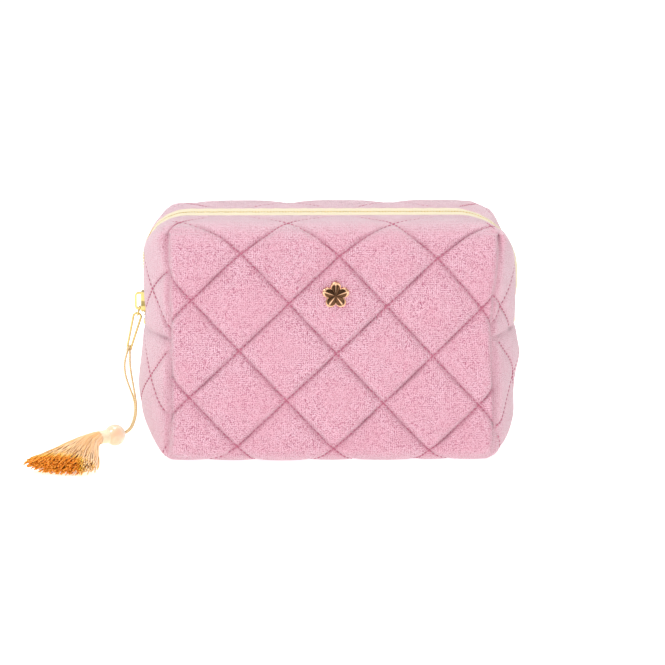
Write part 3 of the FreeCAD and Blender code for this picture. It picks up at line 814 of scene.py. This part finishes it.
class BAG_OT_stage(bpy.types.Operator):
    """Camera, white floor and soft studio light"""
    bl_idname = "bag.stage"
    bl_label = "Stage"

    def execute(self, context):
        stage = context.scene.bag_stage
        scene = context.scene
        aim = Vector((stage.aim_across, 0, stage.aim_height))
        back = Vector((math.sin(stage.turn) * math.cos(stage.rise),
                       -math.cos(stage.turn) * math.cos(stage.rise), math.sin(stage.rise)))
        camera = bpy.data.objects.new("camera", bpy.data.cameras.new("camera"))
        camera.location = aim + back * stage.distance
        camera.rotation_euler = (-back).to_track_quat("-Z", "Y").to_euler()
        camera.data.lens = stage.lens
        camera.data.sensor_width = 36.0
        camera.data.clip_start, camera.data.clip_end = 0.01, 20.0
        scene.collection.objects.link(camera)
        scene.camera = camera
        world = bpy.data.worlds.new("studio")
        world.use_nodes = True
        tree = world.node_tree
        background = tree.nodes["Background"]
        background.inputs[0].default_value = (1.0, 1.0, 1.0, 1.0)
        seen = tree.nodes.new("ShaderNodeLightPath")
        strength = tree.nodes.new("ShaderNodeMapRange")
        strength.inputs["To Min"].default_value = stage.ambient
        strength.inputs["To Max"].default_value = 1.05
        tree.links.new(seen.outputs["Is Camera Ray"], strength.inputs["Value"])
        tree.links.new(strength.outputs["Result"], background.inputs[1])
        scene.world = world
        scene.view_settings.view_transform = "Standard"
        corners = [(x * FLOOR_REACH, y * FLOOR_REACH, -FLOOR_DROP)
                   for x, y in ((-1, -1), (1, -1), (1, 1), (-1, 1))]
        floor = make_piece("floor", corners, [(0, 1, 2, 3)], floor_finish())
        for name, place, width, power in LAMPS:
            light = bpy.data.lights.new(name, "AREA")
            light.shape, light.size, light.energy = "DISK", width, power
            lamp = bpy.data.objects.new(name, light)
            lamp.location = place
            lamp.rotation_euler = (aim - lamp.location).to_track_quat("-Z", "Y").to_euler()
            scene.collection.objects.link(lamp)
        return {"FINISHED"}


# The pull's places and sizes in millimetres. The loop's foot is where the cord is hitched.
LOOP_FOOT = np.array([-0.10247, 0.0, 0.04937]) * 1000
BEAD_RADIUS = 5.4
BEAD_CENTRE = np.array([-110.2, -5.6, BEAD_RADIUS])
NECK_WAY = unit(np.array([-0.83, -0.56, 0.0]))
NECK_SIDE = np.array([-NECK_WAY[1], NECK_WAY[0], 0.0])
FAN_WAY = unit(np.array([-0.20, -0.98, 0.0]))
CORD_DIAMETER = 1.1
STRAND_OFFSET = 0.68                                # each strand's step to its side of the middle


def cord_routes():
    """The two strands' points from the hitch to the bead, in metres."""
    entry = BEAD_CENTRE - NECK_WAY * (BEAD_RADIUS - 0.8)
    foot = LOOP_FOOT
    shared = [foot + (2.3, 2.4, -28.5), foot + (2.4, 2.6, -35.0), entry - NECK_WAY * 5.4 + (0, 0, 2.8),
              entry - NECK_WAY * 2.2 + (0, 0, 0.35), entry + NECK_WAY * 0.2]
    right = [foot + (0.35, 0.0, -1.9), foot + (0.0, 0.5, -8.5), foot + (1.1, 1.4, -17.5)]
    left = [foot + (-0.85, 0.0, -1.9), foot + (-2.7, 0.5, -7.0), foot + (-2.5, 1.2, -14.5),
            foot + (-0.4, 2.2, -21.5)]
    right += [point + NECK_SIDE * STRAND_OFFSET for point in shared]
    left += [point - NECK_SIDE * STRAND_OFFSET for point in shared]
    return {"right": np.array(right) * MM, "left": np.array(left) * MM}


class BAG_OT_cord(bpy.types.Operator):
    """Two limp strands from the loop's foot down to the bead"""
    bl_idname = "bag.cord"
    bl_label = "Cord"

    def execute(self, context):
        finish = finish_named("twisted_cord", lambda: cord_finish(context.scene.bag_colours))
        for side, route in cord_routes().items():
            curve = bpy.data.curves.new("cord_" + side, "CURVE")
            curve.dimensions = "3D"
            curve.bevel_depth = CORD_DIAMETER / 2 * MM
            curve.bevel_resolution = 3
            curve.resolution_u = 12
            curve.use_fill_caps = True
            spline = curve.splines.new("NURBS")
            spline.points.add(len(route) - 1)
            spline.points.foreach_set("co", np.column_stack([route, np.ones(len(route))]).ravel())
            spline.order_u = 3
            spline.use_endpoint_u = True
            strand = bpy.data.objects.new("cord_" + side, curve)
            context.scene.collection.objects.link(strand)
            curve.materials.append(finish)
            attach(strand, "pull")
            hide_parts("cord_strand_" + side)
        return {"FINISHED"}


class BAG_OT_shell(bpy.types.Operator):
    """Quilted towelling, front and back halves"""
    bl_idname = "bag.shell"
    bl_label = "Quilted shell"

    def execute(self, context):
        form = BagForm(context.scene.bag_sizes)
        finish = finish_named("terry_loops", lambda: towelling_finish(context.scene.bag_colours))
        across = round(form.half_face / form.step) + BAND_ROWS + ROLL_ROWS
        u = np.arange(-across, across + 1) * form.step
        edging = BAND_ROWS + ROLL_ROWS
        v = form.low + np.arange(-edging, FACE_ROWS + edging + 1) * form.step
        grid_u, grid_v = np.meshgrid(u, v)
        points, normal, crease = form.cloth(grid_u, grid_v)
        points = points.reshape(-1, 3)
        # How far the cloth turns from facing front or back; the towelling paints its pale sheen by it.
        turned = ease((1 - np.abs(normal[..., 1])) / 0.9)
        for half, lip, mirror in HALVES:
            quads = grid_quads(len(v), len(u), flip=mirror)
            shell = make_piece("shell_" + half, placed(points, mirror), quads,
                               finish)
            for name, values in (("crease", crease), ("turned", turned)):
                layer = shell.data.attributes.new(name, "FLOAT", "POINT")
                layer.data.foreach_set("value", values.astype(np.float32).ravel())
            solid = shell.modifiers.new("cloth_thickness", "SOLIDIFY")
            solid.thickness = 1.1 * MM
            solid.offset = -1.0
            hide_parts(half + "_panel_lower", half + "_panel_fold", half + "_panel_upper")
            bend_with_lip(shell)
        return {"FINISHED"}


def stitch_places(form):
    """Flat coordinates of every quilting stitch on one half, and of a point a little further along.

    Lines q + s and q - s run at 45 degrees. On the band a pair (q, s) is turned back into (u, v)."""
    pitch = form.stitch / math.sqrt(2)
    span = form.half_face + form.half_high * 1.1
    found = []
    for sign in (1, -1):
        for k in range(-8, 9):
            p = np.arange(-span, span, pitch) + 0.3 * pitch * k
            r = sign * (k * form.diamond - p)
            for part in ("face", "top", "bottom"):
                pair = []
                for shift in (0.0, 0.4):
                    q, s = form.from_lattice(p + shift, r - sign * shift)
                    pair.append(to_flat(form, q + PATTERN_SHIFT, s, part))
                keep = pair[0][2] & pair[1][2]
                found.append(np.stack([pair[0][0], pair[0][1], pair[1][0], pair[1][1]], -1)[keep])
    return np.concatenate(found)


def to_flat(form, q, s, part):
    """Quilting coordinates of the face, the top or the bottom back to (u, v), and which are on it."""
    if part == "face":
        on = (np.abs(q) < form.half_face - 1.2) & (s > form.low) & (s < form.high)
        return q, s, on
    if part == "top":
        share = (s - form.high) / (form.top_end - form.high) / form.slot_share
        limit = 1 - (form.zip_end - form.middle) / form.half_high
    else:
        share = (form.low - s) / (form.low - form.bottom_end)
        limit = 1 + (form.zip_end - form.middle) / form.half_high
    depth = share * form.band
    over = np.abs(q) - form.half_face
    side = over > 0
    b = 1 - over / form.half_high
    if part == "bottom":
        b = -b
    sign = 1 if part == "top" else -1
    wide, high = form.half_face + depth, form.half_high + depth
    u = np.where(side, np.sign(q) * wide, q / form.half_face * wide)
    v = np.where(side, form.middle + b * high, form.middle + sign * high)
    stop = 0.86 if part == "top" else 0.985
    on = (share > 0.0) & (share < stop) & (over < form.half_high * limit - 2.0)
    on = on & ~(side & (depth < 1.6))
    return u, v, on


def thread_capsule(length, radius):
    """A short bent capsule: a round profile carried along x, its ends closed, a little arched in z."""
    x = np.array([-0.5, -0.42, -0.15, 0.15, 0.42, 0.5]) * length
    r = np.array([0.25, 0.8, 1.0, 1.0, 0.8, 0.25]) * radius
    turn = full_turn(6)
    arch = -(x / length) ** 2 * radius * 2.6
    points = np.stack([np.repeat(x, 6), (r[:, None] * np.cos(turn)).ravel(),
                       (r[:, None] * np.sin(turn)).ravel() + np.repeat(arch, 6)], -1)
    end = np.array([(0, 1, 2, 3), (0, 3, 4, 5)])
    return points, np.concatenate([grid_quads(6, 6, round_columns=True), end[:, ::-1], end + 30])


class BAG_OT_stitches(bpy.types.Operator):
    """Quilting stitches lying in the grooves"""
    bl_idname = "bag.stitches"
    bl_label = "Quilting stitches"

    def execute(self, context):
        form = BagForm(context.scene.bag_sizes)
        finish = finish_named("quilting_thread", lambda: stitch_finish(context.scene.bag_colours))
        places = stitch_places(form)
        here, normal, _ = form.cloth(places[:, 0], places[:, 1])
        there, _, _ = form.cloth(places[:, 2], places[:, 3])
        keep = here[:, 2] > 1.0
        here, there, normal = here[keep], there[keep], normal[keep]
        way = unit(there - here)
        side = unit(np.cross(normal, way))
        up = np.cross(way, side)
        shape, faces = thread_capsule(form.stitch * 0.72, 0.40)
        points, faces = repeated(shape, faces, here + up * 0.32, way, side, up)
        for half, lip, mirror in HALVES:
            turned_faces = faces[:, ::-1] if mirror else faces
            stitches = make_piece("stitches_" + half, placed(points, mirror), turned_faces, finish)
            bend_with_lip(stitches)
        return {"FINISHED"}


class BAG_OT_lining(bpy.types.Operator):
    """Thin woven lining inside the shell"""
    bl_idname = "bag.lining"
    bl_label = "Lining"

    def execute(self, context):
        form = BagForm(context.scene.bag_sizes)
        finish = finish_named("woven_lining", lambda: lining_finish(context.scene.bag_colours))
        u = np.linspace(-form.half_face - form.band, form.half_face + form.band, 95)
        v = np.linspace(form.low - form.band, form.high + form.band, 77)
        grid_u, grid_v = np.meshgrid(u, v)
        base = form.place(grid_u, grid_v)
        sag = 0.35 * ripple(base[..., 0], base[..., 1], base[..., 2], 28.0, 21)
        points = base + form.normal(grid_u, grid_v, 3.5) * (-5.6 + sag)[..., None]
        points = points.reshape(-1, 3)
        for half, lip, mirror in HALVES:
            lining = make_piece("lining_" + half, placed(points, mirror),
                                grid_quads(len(v), len(u), flip=not mirror), finish)
            solid = lining.modifiers.new("cloth_thickness", "SOLIDIFY")
            solid.thickness = 0.5 * MM
            solid.offset = 1.0
            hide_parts(half + "_lining_lower", half + "_lining_fold", half + "_lining_upper")
            bend_with_lip(lining)
        return {"FINISHED"}


class BAG_OT_zip(bpy.types.Operator):
    """Zip tapes and interlocking coils over the top and down both sides"""
    bl_idname = "bag.zip"
    bl_label = "Zip"

    def execute(self, context):
        form = BagForm(context.scene.bag_sizes)
        colours = context.scene.bag_colours
        tape = finish_named("tape_weave", lambda: tape_finish(colours))
        coil = finish_named("coil_wire", lambda: coil_finish(colours))
        length = form.spine_length()
        along = np.linspace(0.2, length - 0.2, 240)
        section = np.array([(1.25, 2.45), (1.5, 2.22), (1.9, 2.25), (3.5, 2.20), (5.2, 2.2), (6.8, 2.3),
                            (8.0, 2.5), (9.0, 3.0), (10.2, 3.9), (11.8, 4.4), (11.8, 4.9), (10.2, 4.5),
                            (9.0, 3.6), (7.6, 3.1), (3.5, 2.75), (1.9, 2.8), (1.35, 2.75)])
        point, out = form.spine(along)
        y = section[None, :, 0] + 0 * along[:, None]
        sink = section[None, :, 1] + 0.08 * np.sin(along[:, None] * 0.9 + section[None, :, 0])
        crown = 1 - np.clip(section[None, :, 0] / 9.6, 0, 1) ** 2
        tucked = np.clip((section[None, :, 0] - 5) / 5, 0, 1) * form.down_right(along)[:, None]
        sink = sink - (form.lift(along) * 1.25)[:, None] * (1 - tucked) - form.crown(along)[:, None] * crown
        x = point[:, None, 0] - out[:, None, 0] * sink
        z = point[:, None, 1] - out[:, None, 1] * sink
        tape_points = np.stack([x, -y, z], -1).reshape(-1, 3)
        tape_faces = grid_quads(len(along), len(section), round_columns=True)
        ends = np.array([np.arange(len(section))[::-1],
                         (len(along) - 1) * len(section) + np.arange(len(section))])
        uv = np.stack([np.repeat(along, len(section)), y.ravel()], -1)
        for half, lip, mirror in HALVES:
            order = tape_faces[:, ::-1] if mirror else tape_faces
            caps = ends[:, ::-1] if mirror else ends
            strip = make_piece("zip_tape_" + half + "_woven",
                               placed(tape_points, mirror),
                               list(order) + list(caps), tape, uv)
            covered = ["zip_tape_" + half]
            if not mirror:
                covered += ["zip_tape_end_left", "zip_tape_end_right"]
            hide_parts(*covered)
            bend_with_lip(strip)
            wire = self.coil_path(form, length, mirror)
            turns = make_piece("zip_coil_" + half + "_wound",
                               settled(tube_points(wire, 0.3, 6, (0.3, 0.9, 0.2))),
                               grid_quads(len(wire), 6, round_columns=True), coil)
            covered = ["zip_coil_" + half]
            if not mirror:
                covered += ["zip_coil_end_left", "zip_coil_end_right"]
            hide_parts(*covered)
            bend_with_lip(turns)
        return {"FINISHED"}

    def coil_path(self, form, length, mirror):
        """A flat helix along the zip's line, one turn to each tooth. Below the slider it stands aside."""
        pitch = 1.5
        stop = 3.9
        distance = np.arange(stop, length - stop, pitch / 12)
        turn = 2 * math.pi * (distance / pitch + (0.5 if mirror else 0.0))
        point, out = form.spine(distance)
        apart = 0.9 * (1 - ease((distance - 7.4) / 3.0))
        y = 0.95 + 0.82 * np.cos(turn) + apart
        sink = 1.4 - 0.52 * np.sin(turn) - form.lift(distance) * 0.35 - form.crown(distance)
        return np.stack([point[:, 0] - out[:, 0] * sink, y if mirror else -y,
                         point[:, 1] - out[:, 1] * sink], -1)


def revolved(profile, centre, way, side, rings):
    """A profile of (distance along way, radius) carried round the way axis. Closed at both ends."""
    profile = np.asarray(profile, float)
    up = np.cross(way, side)
    turn = full_turn(rings)
    ring = np.cos(turn)[:, None] * side + np.sin(turn)[:, None] * up
    return (centre + profile[:, None, 0:1] * way + profile[:, None, 1:2] * ring[None]).reshape(-1, 3)


class BAG_OT_tassel(bpy.types.Operator):
    """Pearly bead, wound neck and a fan of loose threads"""
    bl_idname = "bag.tassel"
    bl_label = "Tassel"

    def execute(self, context):
        colours = context.scene.bag_colours
        turn = np.linspace(0.235, math.pi - 0.235, 40)
        outer = np.stack([-BEAD_RADIUS * np.cos(turn), BEAD_RADIUS * np.sin(turn)], -1)
        bore = np.stack([np.linspace(outer[-1, 0], outer[0, 0], 12)[1:-1], np.full(10, 1.2)], -1)
        profile = np.concatenate([outer, bore])
        bead = make_piece("bead_pearl", revolved(profile, BEAD_CENTRE, NECK_WAY, NECK_SIDE, 64),
                          grid_quads(len(profile), 64, round_rows=True, round_columns=True, flip=True),
                          finish_named("pearl_bead", lambda: bead_finish(colours)))
        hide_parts("bead")
        start = math.sqrt(BEAD_RADIUS ** 2 - 3.5 ** 2) + 0.1
        step = np.linspace(0, 1, 150)
        radius = 3.1 + 0.35 * np.abs(np.sin(step * math.pi * 11)) ** 0.6
        body = np.stack([start - 0.3 + step * 5.2, radius], -1)
        profile = np.concatenate([[(body[0, 0], 0.2)], body, [(body[-1, 0], 0.2)]])
        neck = make_piece("tassel_neck_wound", revolved(profile, BEAD_CENTRE, NECK_WAY, NECK_SIDE, 40),
                          list(grid_quads(len(profile), 40, round_columns=True, flip=True))
                          + [np.arange(40), (len(profile) - 1) * 40 + np.arange(40)[::-1]],
                          finish_named("neck_wrap", wrap_finish))
        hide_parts("tassel_neck")
        skirt = self.threads(colours, start + 4.4)
        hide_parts("tassel_skirt")
        hitch = self.hitch(colours)
        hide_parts("cord_hitch")
        for piece in (bead, neck, skirt, hitch):
            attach(piece, "pull")
        return {"FINISHED"}

    def threads(self, colours, start):
        """Threads from the neck: each runs from its place in the neck's round to its place in the wide
        flat end, eased with distance along, with a small wave of its own. Places follow a sunflower."""
        count, steps, sides = 560, 15, 4
        draw = np.random.default_rng(11)
        index = np.arange(count)
        reach = np.sqrt((index + 0.5) / count)
        angle = index * math.pi * (3 - math.sqrt(5))
        root = BEAD_CENTRE + NECK_WAY * start
        length = 50.0
        fan_side = np.array([-FAN_WAY[1], FAN_WAY[0], 0.0])
        t = np.linspace(0, 1, steps)[None, :]
        own_length = 1 + draw.normal(0, 0.018, count)[:, None]
        waist = 0.11 * length
        spine = (root + NECK_WAY * (waist * np.minimum(t * 4.5, 1))[..., None]
                 + FAN_WAY * (length * 0.89 * np.maximum(t - 0.06, 0) / 0.94 * own_length)[..., None])
        bend = ease(t * 4.0)[..., None]
        side = unit(NECK_SIDE * (1 - bend) + fan_side * bend)
        spread = t ** 0.9
        wide = (reach * np.cos(angle))[:, None] * (3.1 + (18.3 - 3.1) * spread)
        tall = (reach * np.sin(angle))[:, None] * (3.1 + (4.5 - 3.1) * spread)
        wave = draw.uniform(0, 2 * math.pi, (count, 1))
        wide = wide + 0.55 * np.sin(t * 7 + wave) * t
        tall = tall + 0.4 * np.sin(t * 9 + wave * 1.7) * t
        middle = 5.4 - 0.55 * t
        path = spine + side * wide[..., None]
        path[..., 2] = np.maximum(middle + tall, 0.45)
        way = unit(np.gradient(path, axis=1))
        first = unit(np.cross(way, np.array([0.0, 0.0, 1.0])))
        second = np.cross(first, way)
        corner = full_turn(sides)
        radius = 0.30 + 0.05 * draw.uniform(-1, 1, (count, 1, 1, 1))
        ring = (np.cos(corner)[None, None, :, None] * first[:, :, None, :]
                + np.sin(corner)[None, None, :, None] * second[:, :, None, :])
        points = (path[:, :, None, :] + radius * ring).reshape(-1, 3)
        points[:, 2] = np.maximum(points[:, 2], 0.05)
        one = grid_quads(steps, sides, round_columns=True)
        caps = np.array([np.arange(sides)[::-1], (steps - 1) * sides + np.arange(sides)])
        one = np.concatenate([one, caps])
        faces = (one[None] + (index * steps * sides)[:, None, None]).reshape(-1, 4)
        own = np.repeat(draw.uniform(0, 1, count), steps * sides)
        stray = 1 - 0.16 * ease((reach * np.cos(angle) - 0.42) / 0.3)
        along = np.tile(np.repeat(np.linspace(0, 1, steps), sides), count)
        along = along * np.repeat(stray, steps * sides)
        return make_piece("tassel_threads", points, faces, finish_named("silk_threads",
                          lambda: thread_finish(colours)), np.stack([along, own], -1))

    def hitch(self, colours):
        """The cord's hitch round the loop's foot: a closed knot curve wound three times round a ring."""
        turn = full_turn(240)
        centre = LOOP_FOOT + np.array([-0.1, 0.0, -0.25])
        ring = 0.72 + 0.5 * np.cos(3 * turn)
        path = centre + np.stack([ring * np.cos(2 * turn), ring * np.sin(2 * turn) * 1.15,
                                  1.05 * np.sin(3 * turn)], -1)
        points = tube_points(np.concatenate([path, path[:1]]), 0.5, 8)[:-8]
        quads = grid_quads(len(path), 8, round_rows=True, round_columns=True)
        finish = finish_named("twisted_cord", lambda: cord_finish(colours))
        return make_piece("cord_knot", points, quads, finish)


def squared(value):
    """A cosine or sine pushed towards -1 or 1, which gives a box with rounded edges."""
    return np.sign(value) * np.abs(value) ** 0.45


def badge_finish(colours):
    """Rose-gilt plate whose facets are painted dark brown as a painted reflection, inside a rose-gold rim
    and ridges. The first UV value runs from the middle to the edge and the second from a petal's ridge to
    the valley beside it."""
    f = Finish("rose_gilt_plate")
    out, round_it = f.uv_values()
    rim = f.ramp(out, [(0.80, 0.0), (0.87, 1.0)])
    ridge = f.ramp(round_it, [(0.06, 1.0), (0.16, 0.0)]) * f.ramp(out, [(0.10, 0.0), (0.30, 1.0)])
    bright = rim.larger(ridge)
    rub = f.noise(f.place(), 700.0, 3.0)
    # The facets are painted dark brown as a painted reflection of dark surroundings; the rim and ridges keep
    # the plate's rose-gilt colour.
    colour = f.mix(bright, f.mix(rub, (0.05, 0.022, 0.012), (0.16, 0.08, 0.04)), colours.rose_gilt)
    return f.surface(Base_Color=colour, Metallic=1.0, Roughness=rub * 0.12 + 0.14)


class BAG_OT_badge(bpy.types.Operator):
    """Faceted blossom badge with a raised rim"""
    bl_idname = "bag.badge"
    bl_label = "Badge"

    def execute(self, context):
        middle = np.array([0.8, -42.7, 84.6])       # of the badge's back, in millimetres
        reach, petal = 6.6, 2.5                     # radius of the whole and of a petal's round end
        fifth = 2 * math.pi / 5
        count = 200
        turn = full_turn(count)
        off = (turn + fifth / 2) % fifth - fifth / 2
        away = reach - petal
        edge = away * np.cos(off) + np.sqrt(np.maximum(petal ** 2 - (away * np.sin(off)) ** 2, 0.0))
        edge = np.maximum(edge, 0.62 * reach)
        valley = np.abs(off) / (fifth / 2)
        share = np.array([0.0, 0.15, 0.3, 0.45, 0.6, 0.72, 0.80, 0.84, 0.88, 0.93, 0.98, 1.0, 1.0, 1.0, 0.0])
        lift = np.array([0.0, 0, 0, 0, 0, 0, 0, 0.18, 0.34, 0.38, 0.26, 0.08, 0, 0, 0])
        slope = 2.6 - share[:, None] * (1.3 + 0.8 * valley[None, :])
        height = slope + lift[:, None]
        height[-3:] = np.array([0.45, 0.0, 0.0])[:, None]
        radius = share[:, None] * edge[None, :]
        points = middle + np.stack([-radius * np.sin(turn), -height, radius * np.cos(turn)], -1)
        uv = np.stack([np.broadcast_to(share[:, None], radius.shape),
                       np.broadcast_to(valley, radius.shape)], -1).reshape(-1, 2)
        faces = grid_quads(len(share), count, round_columns=True)
        badge = make_piece("badge_blossom", points.reshape(-1, 3), faces, finish_named(
            "rose_gilt_plate", lambda: badge_finish(context.scene.bag_colours)), uv)
        weld = badge.modifiers.new("closed_poles", "WELD")
        weld.merge_threshold = 0.00001
        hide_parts("badge")
        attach(badge, "front_lip")
        return {"FINISHED"}


class BAG_OT_metal(bpy.types.Operator):
    """Finishes for the slider, stops, ring and loop, whose shapes come with the frame, and the crimp
    where the zip ends on the right"""
    bl_idname = "bag.metal"
    bl_label = "Metal parts"

    def execute(self, context):
        form = BagForm(context.scene.bag_sizes)
        colours = context.scene.bag_colours
        gilt = metal_finish("gilt_plate", tuple(colours.gilt), 0.5, 0.24)
        for name in ("slider_body", "slider_crown", "bail_ring", "pull_loop", "zip_top_stops",
                     "badge_backplate"):
            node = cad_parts[name]
            node.data.materials.clear()
            node.data.materials.append(gilt)
        tall = np.linspace(-math.pi / 2, math.pi / 2, 13)[:, None]
        turn = full_turn(28)[None, :]
        x = form.right_width - 1.2 + 1.0 * squared(np.cos(tall)) * squared(np.cos(turn))
        y = 2.4 * squared(np.cos(tall)) * squared(np.sin(turn))
        z = form.zip_end + 1.8 + 1.5 * squared(np.sin(tall)) + 0 * turn
        crimp = make_piece("bottom_stop_crimp", np.stack([x, y, z], -1).reshape(-1, 3),
                           grid_quads(13, 28, round_columns=True), gilt)
        weld = crimp.modifiers.new("closed_poles", "WELD")
        weld.merge_threshold = 0.00001
        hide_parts("zip_bottom_stop")
        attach(crimp, "pouch")
        return {"FINISHED"}


# ---- panel and registration -------------------------------------------------------------------
MAKING_ORDER = (BAG_OT_stage, BAG_OT_cord, BAG_OT_shell, BAG_OT_stitches, BAG_OT_lining, BAG_OT_zip,
                BAG_OT_tassel, BAG_OT_badge, BAG_OT_metal)


class BAG_PT_panel(bpy.types.Panel):
    """Lists the bag's sizes, colours and making steps"""
    bl_idname = "BAG_PT_panel"
    bl_label = "Make-up bag"
    bl_space_type = "VIEW_3D"
    bl_region_type = "UI"
    bl_category = "Make-up bag"

    def draw(self, context):
        layout = self.layout
        for group in (context.scene.bag_sizes, context.scene.bag_colours, context.scene.bag_stage):
            box = layout.box()
            for key in group.__annotations__:
                box.prop(group, key)
        for step in MAKING_ORDER:
            layout.operator(step.bl_idname)


CLASSES = (BagSizes, BagColours, StageSettings, *MAKING_ORDER, BAG_PT_panel)
GROUPS = (("bag_sizes", BagSizes), ("bag_colours", BagColours), ("bag_stage", StageSettings))


def register():
    """Adds the classes and the scene's property groups."""
    for cls in CLASSES:
        bpy.utils.register_class(cls)
    for name, group in GROUPS:
        setattr(bpy.types.Scene, name, bpy.props.PointerProperty(type=group))


def unregister():
    """Takes them away again."""
    for name, _ in GROUPS:
        delattr(bpy.types.Scene, name)
    for cls in reversed(CLASSES):
        bpy.utils.unregister_class(cls)


def main():
    register()
    for step in MAKING_ORDER:
        category, name = step.bl_idname.split(".")
        getattr(getattr(bpy.ops, category), name)()


if __name__ == "__main__":
    main()
